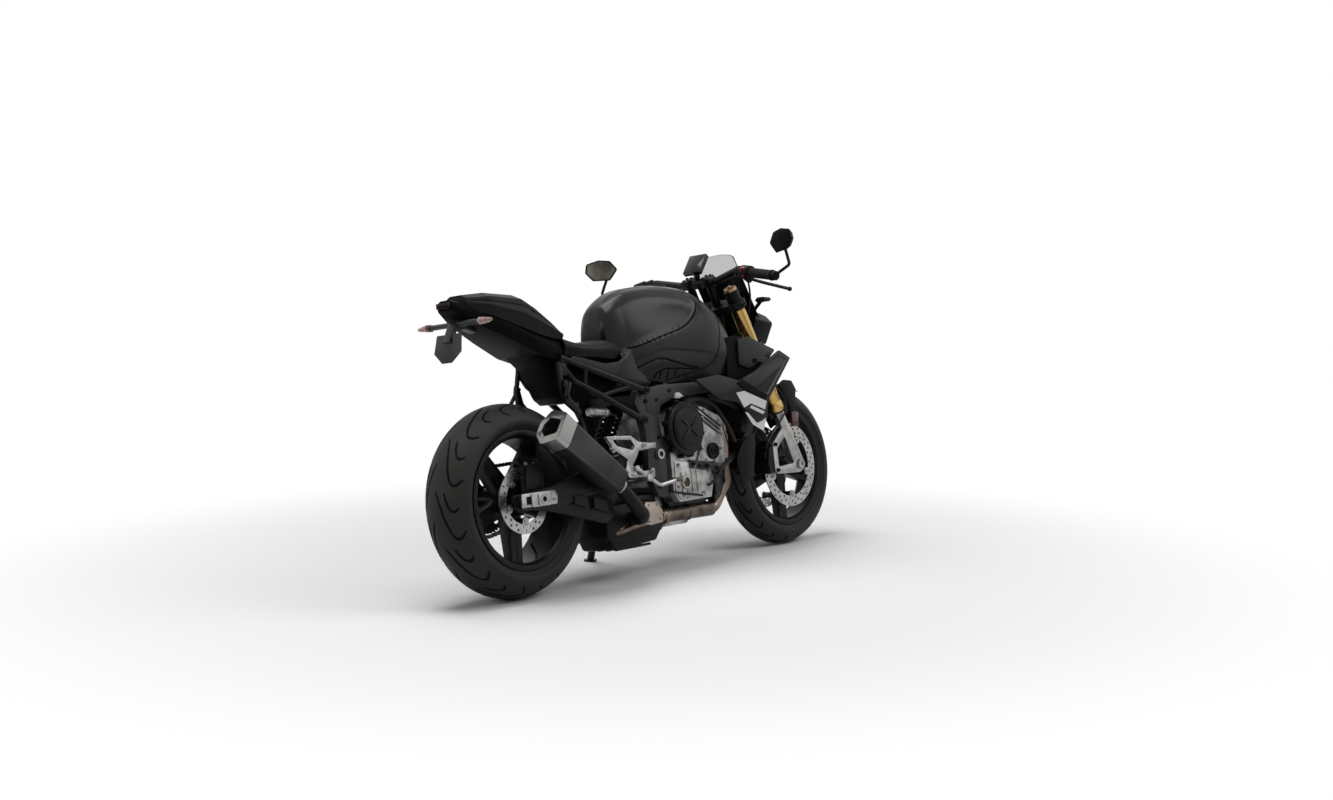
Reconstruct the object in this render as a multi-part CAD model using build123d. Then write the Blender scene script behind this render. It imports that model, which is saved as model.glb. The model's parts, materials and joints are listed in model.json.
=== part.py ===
from build123d import *
import os
from math import acos, atan2, cos, degrees, hypot, pi, radians, sin

# Four-cylinder standard motorcycle, parked on its side stand.
# Lengths are millimetres and angles degrees. While the machine is drawn upright, x runs
# forward from the rear axle, y to the rider's left and z up from the ground.

# Wheels and steering
wheelbase = 1450.0
rear_radius = 320.0
rear_width = 190.0
rear_drop = 58.0  # from the crown of the tread in to its shoulder
front_radius = 300.0
front_width = 120.0
front_drop = 42.0
rim_seat = 215.9
flange_height = 13.0
flange_wall = 8.0
barrel_wall = 13.0
rear_seat_half = 76.2
front_seat_half = 44.5
tyre_wall = 9.0
tyre_foot = 12.0
spoke_pairs = 5
rake = 24.2
trail = 96.0
lean = 7.8
tread_bend = 32.0

# Axles and brakes
rear_axle_radius = 14.0
front_axle_radius = 12.5
axle_bore = 8.0
rear_axle_half = 164.0
front_axle_half = 124.0
front_disc_radius = 160.0
front_disc_band = 40.0
front_disc_in = 66.0
front_disc_thick = 4.5
rear_disc_radius = 110.0
rear_disc_band = 32.0
rear_disc_in = 71.0
rear_disc_thick = 5.0
pad_gap = 2.0

# Chain drive
chain_pitch = 15.875
rear_teeth = 45
front_teeth = 16
chain_line = 108.0
chain_width = 17.0
plate_high = 7.6
plate_waist = 5.4
tooth_height = 5.5

# Fork and handlebar
fork_half = 110.0
fork_tube_radius = 27.0
fork_leg_radius = 22.0
fork_bottom = 240.0
fork_top = 742.0
lower_clamp_at = 486.0
upper_clamp_at = 668.0
clamp_thick = 30.0
clamp_wall = 10.0
stem_radius = 20.0
head_wall = 14.0
bar_radius = 14.0
grip_radius = 17.0
grip_length = 122.0
bar_half = 398.0

# Frame and engine
engine_x = 629.0
pivot_x = 602.0
pivot_z = 412.0
pivot_radius = 13.0
frame_inner = 120.0
frame_outer = 148.0
rail_radius = 11.0
rail_gap = 4.0
sprocket_x = 705.0
engine_half = 150.0
gearbox_half = 92.0
sump_half = 58.0
cylinder_tilt = 32.0
clutch_radius = 95.0
header_radius = 20.0
header_pitch = 88.0
collector_radius = 27.0
link_radius = 24.0
arm_inner = 122.0
arm_outer = 152.0
stand_pivot_x = 603.0
stand_pivot_y = 157.0
stand_pivot_z = 236.0
stand_foot_x = 668.0
stand_foot_y = 292.0
stand_radius = 13.0
stand_head = 10.0

# Bodywork
tank_wall = 20.0
seam = 3.0
tank_top = 1010.0
seat_rise = 182.0  # rider seat above the rear tyre
pillion_step = 180.0  # pillion seat above the rider seat
screen_thick = 4.0
guard_gap = 15.0
guard_thick = 3.0
mirror_half = 448.0
mirror_height = 1120.0
mirror_turn = 18.0

# Clearances
bead_gap = 0.4
running_gap = 0.1
seat_gap = 0.3
chain_gap = 1.0

# Derived places
seat_height = 2 * rear_radius + seat_rise
pillion_height = seat_height + pillion_step
radiator_x = engine_x + 483
rim_flange = rim_seat + flange_height
fork_offset = front_radius * sin(radians(rake)) - trail * cos(radians(rake))
steer_x = wheelbase - fork_offset * cos(radians(rake))
steer_z = front_radius - fork_offset * sin(radians(rake))
forward = Vector(cos(radians(rake)), 0, sin(radians(rake)))
upward = Vector(-sin(radians(rake)), 0, cos(radians(rake)))
steer = Plane(origin=(steer_x, 0, steer_z), x_dir=forward, z_dir=upward)
steer_side = Plane(origin=(steer_x, 0, steer_z), x_dir=forward, z_dir=(0, -1, 0))
rear_hub = Pos(0, 0, rear_radius)
front_hub = Pos(wheelbase, 0, front_radius)
tilt_up = Vector(sin(radians(cylinder_tilt)), 0, cos(radians(cylinder_tilt)))
tilt_on = Vector(cos(radians(cylinder_tilt)), 0, -sin(radians(cylinder_tilt)))
deck = Plane(origin=(engine_x + 211, 0, pivot_z + 88), x_dir=tilt_on, z_dir=tilt_up)


# Shapes used by many pieces
def outline(points, bend):
    if bend > 0:
        return FilletPolyline(*points, radius=bend, close=True)
    return Polyline(*points, close=True)


def slab(points, low, high, bend=0.0):
    face = make_face(Plane.XZ.offset(-high) * outline(points, bend))
    return extrude(face, amount=high - low, dir=(0, -1, 0))


def steer_slab(points, low, high, bend=0.0):
    face = make_face(steer_side.offset(-high) * outline(points, bend))
    return extrude(face, amount=high - low, dir=(0, -1, 0))


def drum(radius, low, high, x=0.0, z=0.0):
    face = Plane.XZ.offset(-high) * Pos(x, z) * Circle(radius)
    return extrude(face, amount=high - low)


def bar(start, end, radius):
    start = Vector(*start)
    end = Vector(*end)
    run = end - start
    return Plane(origin=start, z_dir=run) * Cylinder(
        radius, run.length, align=(Align.CENTER, Align.CENTER, Align.MIN)
    )


def pipe(points, radius, bend):
    path = FilletPolyline(*points, radius=bend)
    start = path @ 0
    return sweep(Plane(origin=start, z_dir=path % 0) * Circle(radius), path=path)


def brick(x_low, x_high, y_low, y_high, z_low, z_high):
    size = Box(x_high - x_low, y_high - y_low, z_high - z_low)
    return Pos((x_low + x_high) / 2, (y_low + y_high) / 2, (z_low + z_high) / 2) * size


def other_side(piece):
    return mirror(piece, about=Plane.XZ)


def group(*pieces):
    solids = []
    for piece in pieces:
        solids.extend(piece.solids())
    return Compound(children=solids)


def largest(piece):
    return piece.solids().sort_by(SortBy.VOLUME)[-1]


def pair(piece):
    return group(piece, other_side(piece))


# Wheels
def crown_radius(width, drop):
    return ((width / 2) ** 2 + drop**2) / (2 * drop)


def tyre(radius, width, drop, seat_half):
    half = width / 2
    bead = seat_half - bead_gap
    foot = rim_seat + bead_gap
    lip = rim_flange + 2
    shoulder = radius - drop
    crown = crown_radius(width, drop)
    liner = shoulder - 4
    left = [
        (foot, bead - tyre_foot),
        (foot, bead),
        (lip, bead),
        ((lip + shoulder) / 2, (bead + half) / 2 + 4),
        (shoulder, half),
    ]
    for angle in (radians(tread_bend), radians(lean)):
        left.append((radius - crown * (1 - cos(angle)), crown * sin(angle)))
    inside = [(radius - tyre_wall, half / 3), (liner, half - tyre_wall)]
    ring = left + [(out, -across) for out, across in reversed(left)]
    ring = ring + [(out, -across) for out, across in reversed(inside)] + inside
    return revolve(make_face(Polyline(*ring, close=True)), Axis.Y)


def spoke(start_angle, end_angle, start_radius, end_radius, wide, thick):
    start = Vector(start_radius * cos(radians(start_angle)), 0, start_radius * sin(radians(start_angle)))
    end = Vector(end_radius * cos(radians(end_angle)), 0, end_radius * sin(radians(end_angle)))
    inner = Plane(origin=start, x_dir=(0, 1, 0), z_dir=end - start) * Rectangle(thick, wide)
    outer = Plane(origin=end, x_dir=(0, 1, 0), z_dir=end - start) * Rectangle(thick * 0.7, wide * 0.72)
    return loft([inner, outer], ruled=True)


def rim(seat_half, hub_radius, hub_right, hub_left, bore, thick):
    edge = seat_half + flange_wall
    barrel = rim_seat - barrel_wall
    section = [
        (rim_flange, edge),
        (rim_flange, seat_half),
        (rim_seat, seat_half),
        (rim_seat, -seat_half),
        (rim_flange, -seat_half),
        (rim_flange, -edge),
        (rim_seat - 4, -edge),
        (barrel, 14 - edge),
        (barrel, edge - 14),
        (rim_seat - 4, edge),
    ]
    body = revolve(make_face(Polyline(*section, close=True)), Axis.Y)
    hub = [
        (bore, -hub_right),
        (hub_radius - 8, -hub_right),
        (hub_radius, 16 - hub_right),
        (hub_radius, hub_left - 16),
        (hub_radius - 8, hub_left),
        (bore, hub_left),
    ]
    body = body + revolve(make_face(Polyline(*hub, close=True)), Axis.Y)
    for number in range(spoke_pairs):
        middle = 270 + number * 360 / spoke_pairs
        for side in (-1, 1):
            body = body + spoke(
                middle + side * 21, middle + side * 3.4, hub_radius - 9, barrel + 5, 30, thick
            )
    return body


def disc(radius, band, thick, inner, ear_radius):
    face = Circle(radius) - Circle(radius - band)
    for number in range(spoke_pairs):
        angle = radians(270 + number * 360 / spoke_pairs)
        at = Pos(ear_radius * cos(angle), ear_radius * sin(angle))
        face = face + at * Circle(15)
    return extrude(Plane.XZ.offset(inner) * face, amount=thick)


front_boss = front_disc_radius - front_disc_band - 8
front_tyre = front_hub * tyre(front_radius, front_width, front_drop, front_seat_half)
front_rim = rim(front_seat_half, 36, 60, 60, front_axle_radius + running_gap, 44)
for number in range(spoke_pairs):
    angle = radians(270 + number * 360 / spoke_pairs)
    front_rim = front_rim + drum(
        11, -front_disc_in, front_disc_in, front_boss * cos(angle), front_boss * sin(angle)
    )
front_rim = front_hub * front_rim
front_disc = disc(front_disc_radius, front_disc_band, front_disc_thick, front_disc_in, front_boss)
front_discs = front_hub * pair(front_disc)

rear_tyre = rear_hub * tyre(rear_radius, rear_width, rear_drop, rear_seat_half)
rear_boss = rear_disc_radius - rear_disc_band - 8
rear_rim = rim(rear_seat_half, 50, rear_disc_in - 3, chain_line - 4, rear_axle_radius + running_gap, 52)
for number in range(spoke_pairs):
    angle = radians(270 + number * 360 / spoke_pairs)
    rear_rim = rear_rim + drum(
        11, -rear_disc_in, 0, rear_boss * cos(angle), rear_boss * sin(angle)
    )
rear_rim = rear_hub * rear_rim
rear_disc = rear_hub * disc(rear_disc_radius, rear_disc_band, rear_disc_thick, rear_disc_in, rear_boss)

# Chain and sprocket
rear_pitch = chain_pitch / sin(pi / rear_teeth) / 2
front_pitch = chain_pitch / sin(pi / front_teeth) / 2
tooth_tip = rear_pitch - plate_high - chain_gap
tooth_points = []
for number in range(rear_teeth):
    for share, drop in ((0, tooth_height), (0.35, tooth_height), (0.5, 0), (0.85, 0)):
        angle = 2 * pi * (number + share) / rear_teeth
        tooth_points.append(((tooth_tip - drop) * cos(angle), (tooth_tip - drop) * sin(angle)))
sprocket_face = make_face(Polyline(*tooth_points, close=True)) - Circle(rear_axle_radius + 9)
for number in range(spoke_pairs):
    angle = radians(90 + number * 360 / spoke_pairs)
    sprocket_face = sprocket_face - Pos(72 * cos(angle), 72 * sin(angle)) * Circle(17)
rear_sprocket = rear_hub * extrude(Plane.XZ.offset(-chain_line - 4) * sprocket_face, amount=8)

chain_run = hypot(sprocket_x, pivot_z - rear_radius)
chain_slope = atan2(pivot_z - rear_radius, sprocket_x)
chain_open = acos((rear_pitch - front_pitch) / chain_run)
chain_straight = chain_run * sin(chain_open)
rear_wrap = 2 * (pi - chain_open)
front_wrap = 2 * chain_open
chain_length = 2 * chain_straight + rear_wrap * rear_pitch + front_wrap * front_pitch
chain_links = 2 * round(chain_length / chain_pitch / 2)


def chain_point(along, out):
    if along < chain_straight:
        angle = chain_slope + chain_open
        step = along / chain_straight
        radius = rear_pitch + (front_pitch - rear_pitch) * step + out
        return (sprocket_x * step + radius * cos(angle), chain_climb(step) + radius * sin(angle))
    along = along - chain_straight
    if along < front_wrap * front_pitch:
        angle = chain_slope + chain_open - along / front_pitch
        radius = front_pitch + out
        return (sprocket_x + radius * cos(angle), pivot_z + radius * sin(angle))
    along = along - front_wrap * front_pitch
    if along < chain_straight:
        angle = chain_slope - chain_open
        step = 1 - along / chain_straight
        radius = rear_pitch + (front_pitch - rear_pitch) * step + out
        return (sprocket_x * step + radius * cos(angle), chain_climb(step) + radius * sin(angle))
    along = along - chain_straight
    angle = chain_slope - chain_open - along / rear_pitch
    radius = rear_pitch + out
    return (radius * cos(angle), rear_radius + radius * sin(angle))


def chain_climb(step):
    return rear_radius + (pivot_z - rear_radius) * step


chain_outside = []
chain_inside = []
for number in range(chain_links):
    for share, half in ((0, plate_high), (0.5, plate_waist)):
        along = chain_length * (number + share) / chain_links
        chain_outside.append(chain_point(along, half))
        chain_inside.append(chain_point(along, -half))
chain_face = make_face(Polyline(*chain_outside, close=True)) - make_face(Polyline(*chain_inside, close=True))
drive_chain = extrude(Plane.XZ.offset(-chain_line - chain_width / 2) * chain_face, amount=chain_width)

# Swingarm, rear axle and rear brake
arm_points = [
    (-92, 342),
    (-86, 296),
    (60, 280),
    (330, 322),
    (360, 330),
    (360, 424),
    (300, 418),
    (150, 372),
    (40, 352),
]
arm = slab(arm_points, arm_inner, arm_outer, 8)
arm = arm - drum(rear_axle_radius + seat_gap, arm_inner - 1, arm_outer + 1, 0, rear_radius)
back_end = Plane(origin=(350, (arm_inner + arm_outer) / 2, 376), x_dir=(0, 1, 0), z_dir=(1, 0, 0))
front_end = Plane(origin=(pivot_x, 66, pivot_z), x_dir=(0, 1, 0), z_dir=(1, 0, 0))
arm_root = back_end * Rectangle(arm_outer - arm_inner, 90)
arm = arm + loft([arm_root, front_end * Rectangle(40, 48)], ruled=True)
arms = arm + other_side(arm)
arms = arms + brick(400, 470, -100, 100, 356, 424)
arms = arms + drum(26, 8 - frame_inner, frame_inner - 8, pivot_x, pivot_z)
swingarm = arms - drum(pivot_radius + seat_gap, -frame_outer, frame_outer, pivot_x, pivot_z)
for side in (-1, 1):
    hole = drum(4, arm_outer - 20, arm_outer + 1, 70, 318)
    if side < 0:
        hole = other_side(hole)
    swingarm = swingarm - hole

axle = drum(rear_axle_radius, -rear_axle_half, rear_axle_half)
for low, high in ((rear_disc_in + 1, arm_inner), (arm_outer, rear_axle_half - 4)):
    axle = axle + drum(21, -high, -low)
axle = axle + drum(21, chain_line + 4.5, arm_inner) + drum(21, arm_outer, rear_axle_half - 4)
for side in (-1, 1):
    low = min(side * arm_outer, side * (arm_outer + 8))
    axle = axle + slab([(-46, -22), (40, -22), (40, 22), (-46, 22)], low, low + 8, 6)
rear_axle = rear_hub * (axle - drum(axle_bore, -rear_axle_half - 1, rear_axle_half + 1))

disc_low = -rear_disc_in - rear_disc_thick
brake_points = [(-18, 88), (58, 72), (74, 108), (50, 132), (-10, 138)]
rear_caliper = slab(brake_points, disc_low - 26, -rear_disc_in + 16, 8)
slot = drum(rear_disc_radius + 6, disc_low - pad_gap, pad_gap - rear_disc_in)
rear_caliper = rear_caliper - slot
lug_points = [(-24, -26), (26, -26), (60, 80), (40, 118), (-14, 112), (-26, 60)]
lug = slab(lug_points, 1.5 - arm_inner, disc_low - 20, 10)
rear_caliper = rear_caliper + (lug - drum(21 + seat_gap, -arm_inner, disc_low))
rear_caliper = rear_hub * rear_caliper

# Frame
frame_points = [
    (585, 264),
    (634, 264),
    (636, 330),
    (640, 388),
    (650, 440),
    (626, 490),
    (624, 540),
    (640, 580),
    (720, 604),
    (985, 610),
    (985, 652),
    (602, 640),
    (540, 652),
    (520, 634),
    (506, 596),
    (528, 556),
    (546, 500),
    (547, 408),
    (541, 348),
    (556, 322),
]
side_plate = slab(frame_points, frame_inner, frame_outer, 9)
back_end = Plane(origin=(965, (frame_inner + frame_outer) / 2, 631), x_dir=(0, 1, 0), z_dir=(1, 0, 0))
head_middle = (lower_clamp_at + upper_clamp_at + clamp_thick) / 2
head_at = steer.from_local_coords(Vector(-12, 34, head_middle))
front_end = Plane(origin=head_at, x_dir=(0, 1, 0), z_dir=(1, 0, 0))
side_plate = side_plate + loft(
    [back_end * Rectangle(frame_outer - frame_inner, 40), front_end * Rectangle(26, 92)],
    ruled=True,
)
main_frame = side_plate + other_side(side_plate)
head_low = lower_clamp_at + clamp_thick + seat_gap
head_long = upper_clamp_at - seat_gap - head_low
head_tube = steer * Pos(0, 0, head_low) * Cylinder(
    stem_radius + head_wall, head_long, align=(Align.CENTER, Align.CENTER, Align.MIN)
)
main_frame = main_frame + head_tube
main_frame = main_frame + brick(566, 598, -frame_inner - 1, frame_inner + 1, 586, 626)
main_frame = main_frame + drum(14, -frame_inner - 1, frame_inner + 1, 612, 285)
main_frame = main_frame + drum(pivot_radius, -frame_outer - 8, frame_outer + 8, pivot_x, pivot_z)
main_frame = main_frame + drum(22, frame_outer, frame_outer + 8, pivot_x, pivot_z)
main_frame = main_frame + drum(22, -frame_outer - 8, -frame_outer, pivot_x, pivot_z)
tank_post = brick(826, 846, frame_inner, frame_inner + 16, 640, 746)
panel_post = brick(690, 710, frame_inner, frame_inner + 9, 640, 670)
main_frame = main_frame + tank_post + other_side(tank_post) + panel_post + other_side(panel_post)
engine_bracket = brick(612, engine_x + 32, gearbox_half - 14, frame_inner + 1, 298, 326)
main_frame = main_frame + engine_bracket + other_side(engine_bracket)
stem_bore = steer * Pos(0, 0, head_low - 1) * Cylinder(
    stem_radius + running_gap, head_long + 2, align=(Align.CENTER, Align.CENTER, Align.MIN)
)
main_frame = main_frame - stem_bore

# Shock absorber
shock_low = (455, 0, 416)
shock_high = (572, 0, 604)
rear_shock = bar(shock_low, shock_high, 17)
run = Vector(*shock_high) - Vector(*shock_low)
for number in range(7):
    start = Vector(*shock_low) + run * (0.28 + 0.08 * number)
    rear_shock = rear_shock + bar(tuple(start), tuple(start + run * 0.04), 33)
rear_shock = rear_shock + bar(shock_low, tuple(Vector(*shock_low) + run * 0.24), 24)
rear_shock = largest(rear_shock - main_frame - swingarm)

# Rear subframe of round tube, bolted to the outside of the frame plates
rail_out = frame_outer + rail_radius + rail_gap
upper_front = Vector(548, rail_out, 637)
upper_rear = Vector(206, 102, seat_height - 48)
lower_front = Vector(524, rail_out, 536)
lower_middle = Vector(366, 126, 634)
lower_bend = Vector(256, 110, seat_height - 132)
lower_rear = Vector(214, 104, seat_height - 80)
rail = bar(tuple(upper_front), tuple(upper_rear), rail_radius)
lower_rail = [tuple(lower_front), tuple(lower_middle), tuple(lower_bend), tuple(lower_rear)]
rail = rail + pipe(lower_rail, rail_radius, 24)
lower_stay = lower_middle * 0.4 + lower_bend * 0.6
for low_end, share in ((lower_middle, 0.15), (lower_stay, 0.7), (lower_rear, 0.98)):
    high_end = upper_front + (upper_rear - upper_front) * share
    rail = rail + bar(tuple(low_end), tuple(high_end), rail_radius - 3)
for end in (upper_front, lower_front):
    rail = rail + drum(15, frame_outer, rail_out + rail_radius, end.X, end.Z)
rear_subframe = pair(rail)

# Engine
case_points = [
    (engine_x + 14, pivot_z - 130),
    (engine_x + 262, pivot_z - 130),
    (engine_x + 340, pivot_z - 60),
    (engine_x + 345, pivot_z + 20),
    (deck.origin.X + 95 * tilt_on.X, deck.origin.Z + 95 * tilt_on.Z),
    (deck.origin.X - 95 * tilt_on.X, deck.origin.Z - 95 * tilt_on.Z),
    (engine_x + 60, pivot_z + 150),
    (engine_x + 14, pivot_z + 130),
    (engine_x + 38, pivot_z),
]
crankcase = slab(case_points, -gearbox_half, gearbox_half, 10)
sump_points = [
    (engine_x + 30, pivot_z - 120),
    (engine_x + 44, pivot_z - 236),
    (engine_x + 66, pivot_z - 262),
    (engine_x + 190, pivot_z - 262),
    (engine_x + 246, pivot_z - 230),
    (engine_x + 256, pivot_z - 120),
]
crankcase = crankcase + slab(sump_points, -sump_half, sump_half, 10)
right_points = [
    (engine_x + 33, pivot_z - 140),
    (engine_x + 60, pivot_z - 176),
    (engine_x + 236, pivot_z - 176),
    (engine_x + 258, pivot_z - 106),
    (engine_x + 330, pivot_z - 56),
    (engine_x + 335, pivot_z + 20),
    (deck.origin.X + 88 * tilt_on.X, deck.origin.Z + 88 * tilt_on.Z),
    (deck.origin.X - 90 * tilt_on.X, deck.origin.Z - 90 * tilt_on.Z),
    (engine_x + 66, pivot_z + 150),
    (engine_x + 33, pivot_z + 140),
]
crankcase = crankcase + slab(right_points, -engine_half, 10 - gearbox_half, 10)
left_points = [
    (sprocket_x + 62, pivot_z - 130),
    (sprocket_x + 74, pivot_z - 176),
    (sprocket_x + 160, pivot_z - 176),
    (engine_x + 258, pivot_z - 106),
    (engine_x + 330, pivot_z - 56),
    (engine_x + 335, pivot_z + 20),
    (deck.origin.X + 88 * tilt_on.X, deck.origin.Z + 88 * tilt_on.Z),
    (deck.origin.X - 74 * tilt_on.X, deck.origin.Z - 74 * tilt_on.Z),
    (sprocket_x + 62, pivot_z + 70),
]
crankcase = crankcase + slab(left_points, gearbox_half - 10, engine_half, 10)
crankcase = largest(crankcase - main_frame)

cylinders = Pos(0, 0, 28) * Box(180, 2 * engine_half + 10, 56)
head = Pos(2, 0, 116) * Box(190, 2 * (frame_inner - 8), 120)
head = fillet(head.edges().filter_by(Axis.Y), 14)
cylinder_head = deck * (cylinders + head)
for number in (1, 2, 3):
    fin = Pos(0, 0, number * 14) * (Box(200, 2 * engine_half + 20, 5) - Box(170, 2 * engine_half, 6))
    cylinder_head = cylinder_head + deck * fin

cylinder_head = cylinder_head - crankcase

clutch_x = engine_x + 106
clutch_z = pivot_z + 78
clutch_room = drum(clutch_radius + 14, -engine_half - 60, -engine_half, clutch_x, clutch_z)
cylinder_head = cylinder_head - clutch_room
cylinder_head = cylinder_head - drum(80, engine_half, engine_half + 60, engine_x + 236, pivot_z + 8)
clutch_cover = drum(clutch_radius, -engine_half - 24, -engine_half, clutch_x, clutch_z)
clutch_cover = clutch_cover + drum(
    clutch_radius - 20, -engine_half - 42, -engine_half - 24, clutch_x, clutch_z
)
clutch_cover = chamfer(clutch_cover.faces().sort_by(Axis.Y)[0].edges(), 8)
for number in range(4):
    angle = radians(45 + 90 * number)
    clutch_cover = clutch_cover + drum(
        11,
        -engine_half - 20,
        -engine_half,
        clutch_x + (clutch_radius + 2) * cos(angle),
        clutch_z + (clutch_radius + 2) * sin(angle),
    )

crank_x = engine_x + 236
crank_z = pivot_z + 8
alternator = drum(72, engine_half, engine_half + 46, crank_x, crank_z)
alternator = alternator + drum(52, engine_half + 46, engine_half + 58, crank_x, crank_z)
alternator = chamfer(alternator.faces().sort_by(Axis.Y)[-1].edges(), 6)
cover_points = [
    (sprocket_x - 46, pivot_z - 58),
    (sprocket_x + 59, pivot_z - 62),
    (sprocket_x + 59, pivot_z + 66),
    (sprocket_x - 46, pivot_z + 58),
]
sprocket_cover = slab(cover_points, chain_line + chain_width / 2 + 3, engine_half, 20)
peg = drum(9, gearbox_half, chain_line + chain_width / 2 + 4, sprocket_x + 46, pivot_z + 58)
post = drum(9, gearbox_half, chain_line + chain_width / 2 + 4, sprocket_x + 46, pivot_z - 54)
sprocket_cover = sprocket_cover + peg + post
left_engine_covers = group(alternator, sprocket_cover)

front_sprocket = drum(front_pitch, gearbox_half, chain_line + 4, sprocket_x, pivot_z)
front_sprocket = largest(front_sprocket - drive_chain)

# Cooling
core_arc = ThreePointArc((-26, -168), (0, 0), (-26, 168))
core_back = ThreePointArc((-62, -168), (-36, 0), (-62, 168))
core_edges = [core_arc, core_back, Line(core_arc @ 0, core_back @ 0), Line(core_arc @ 1, core_back @ 1)]
core = extrude(make_face(core_edges), amount=250)
radiator_top = Plane(origin=(radiator_x, 0, 444), x_dir=(0.985, 0, -0.174), z_dir=(0.174, 0, 0.985))
upper_core = radiator_top * core
lower_core = brick(radiator_x - 34, radiator_x, -128, 128, 318, 424)
lower_core = lower_core + brick(radiator_x - 34, radiator_x - 14, -40, 40, 423, 450) - upper_core
lower_core = lower_core + (brick(engine_x + 320, radiator_x - 33, -10, 10, 372, 392) - crankcase)
radiator = group(upper_core, lower_core)

# Exhaust
box_points = [(338, 150), (372, 134), (580, 132), (622, 150), (636, 170), (636, 228), (560, 262), (345, 256)]
exhaust_box = slab(box_points, -114, 114, 14)
port = deck.from_local_coords(Vector(97, 0, 92))
collector_y = 88.0
collector_z = pivot_z - 222
collector_x = engine_x + 296
header_side = bar(
    (636, collector_y, collector_z + 4), (collector_x, collector_y, collector_z), collector_radius
)
for wide in (header_pitch * 0.42, header_pitch * 1.16):
    header_side = header_side + pipe(
        [
            (port.X, wide, port.Z),
            (port.X + 50, wide, port.Z - 31),
            (port.X + 42, wide, 280),
            (collector_x + 20, collector_y, collector_z),
            (collector_x - 40, collector_y, collector_z),
        ],
        header_radius,
        36,
    )
exhaust_headers = pair(largest(header_side - cylinder_head - exhaust_box))

can_front = Vector(312, -200, 340)
can_rear = Vector(26, -206, 548)
can_axis = can_rear - can_front
front_face = Plane(origin=can_front, x_dir=(0, 1, 0), z_dir=can_axis)
rear_face = Plane(origin=can_rear, x_dir=(0, 1, 0), z_dir=can_axis)
can_front_points = [(-44, -40), (20, -52), (46, -16), (46, 20), (16, 50), (-44, 36)]
can_rear_points = [(-52, -52), (22, -66), (54, -20), (54, 26), (18, 64), (-52, 48)]
silencer = loft(
    [
        front_face * make_face(FilletPolyline(*can_front_points, radius=14, close=True)),
        rear_face * make_face(FilletPolyline(*can_rear_points, radius=16, close=True)),
    ]
)
outlet_points = [(-36, -26), (16, -38), (36, -10), (36, 14), (14, 36), (-36, 24)]
outlet = make_face(FilletPolyline(*outlet_points, radius=9, close=True))
silencer = silencer - extrude(rear_face * outlet, amount=-90)
link = pipe([(470, -114, 205), (470, -176, 205), (330, -200, 327), tuple(can_front)], link_radius, 34)
silencer = silencer + link


# Tank, side covers and seats
def body_section(x, low, high, half_points):
    points = [(across, low + (high - low) * rise) for across, rise in half_points]
    points = points + [(-across, height) for across, height in reversed(points)]
    face = make_face(Polyline(*points, close=True))
    return Plane(origin=(x, 0, 0), x_dir=(0, 1, 0), z_dir=(1, 0, 0)) * face


def tank_section(x, half, low, top):
    shape = ((0.9, 0), (1, 0.32), (0.92, 0.62), (0.78, 0.82), (0.55, 0.94), (0.24, 1))
    return body_section(x, low, top, [(half * across, rise) for across, rise in shape])


tank_body = loft(
    [
        tank_section(490, 54, 792, 890),
        tank_section(520, 84, 742, 950),
        tank_section(590, 116, 686, tank_top - 20),
        tank_section(684, 142, 658, tank_top - 3),
        tank_section(790, 160, 654, tank_top),
        tank_section(930, 180, 662, tank_top - 12),
        tank_section(1050, 168, 674, tank_top - 62),
    ],
    ruled=True,
)
skirt_points = [(440, 800), (600, 742), (760, 728), (920, 752), (1100, 800), (1100, 600), (440, 600)]
skirt = slab(skirt_points, -220, 220)
fuel_tank = largest(tank_body - skirt - main_frame)
core_half = [(440, 30), (520, 64), (590, 96), (684, 122), (790, 140), (930, 160), (1070, 148)]
tank_core_points = core_half + [(x, -y) for x, y in reversed(core_half)]
tank_core = extrude(Pos(0, 0, 560) * make_face(Polyline(*tank_core_points, close=True)), amount=300)
tank_side_panels = group((tank_body & Pos(0, 0, -seam) * skirt) - tank_core - main_frame)


def seat_section(x, half, low, top, crown):
    shape = ((0.94 * half, 0), (half, 0.45), (0.9 * half, 1 - 1.8 * crown / (top - low)), (0.5 * half, 1))
    return body_section(x, low, top, shape)


tail_cover = loft(
    [
        seat_section(-186, 38, pillion_height - 52, pillion_height - 18, 4),
        seat_section(-120, 62, pillion_height - 97, pillion_height - 30, 6),
        seat_section(0, 92, pillion_height - 154, pillion_height - 58, 8),
        seat_section(120, 108, seat_height - 32, seat_height + 60, 8),
        seat_section(222, 106, seat_height - 64, seat_height + 16, 8),
    ],
    ruled=True,
)
pillion_seat = loft(
    [
        seat_section(-138, 52, pillion_height - 52, pillion_height - 4, 6),
        seat_section(-60, 86, pillion_height - 77, pillion_height, 8),
        seat_section(60, 110, pillion_height - 126, pillion_height - 12, 10),
        seat_section(112, 116, pillion_height - 146, pillion_height - 44, 10),
        seat_section(180, 116, pillion_height - 164, pillion_height - 92, 10),
        seat_section(228, 112, pillion_height - 170, pillion_height - 132, 8),
    ],
    ruled=True,
)
pillion_seat = largest(pillion_seat - tail_cover)
tail_cover = largest(tail_cover - rear_subframe)
rider_seat = loft(
    [
        seat_section(231, 112, seat_height - 46, seat_height + 26, 8),
        seat_section(300, 134, seat_height - 52, seat_height - 2, 10),
        seat_section(380, 136, seat_height - 54, seat_height - 4, 10),
        seat_section(440, 108, seat_height - 46, seat_height + 6, 8),
        seat_section(489.5, 66, seat_height - 36, seat_height + 12, 8),
    ],
    ruled=True,
)

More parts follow.
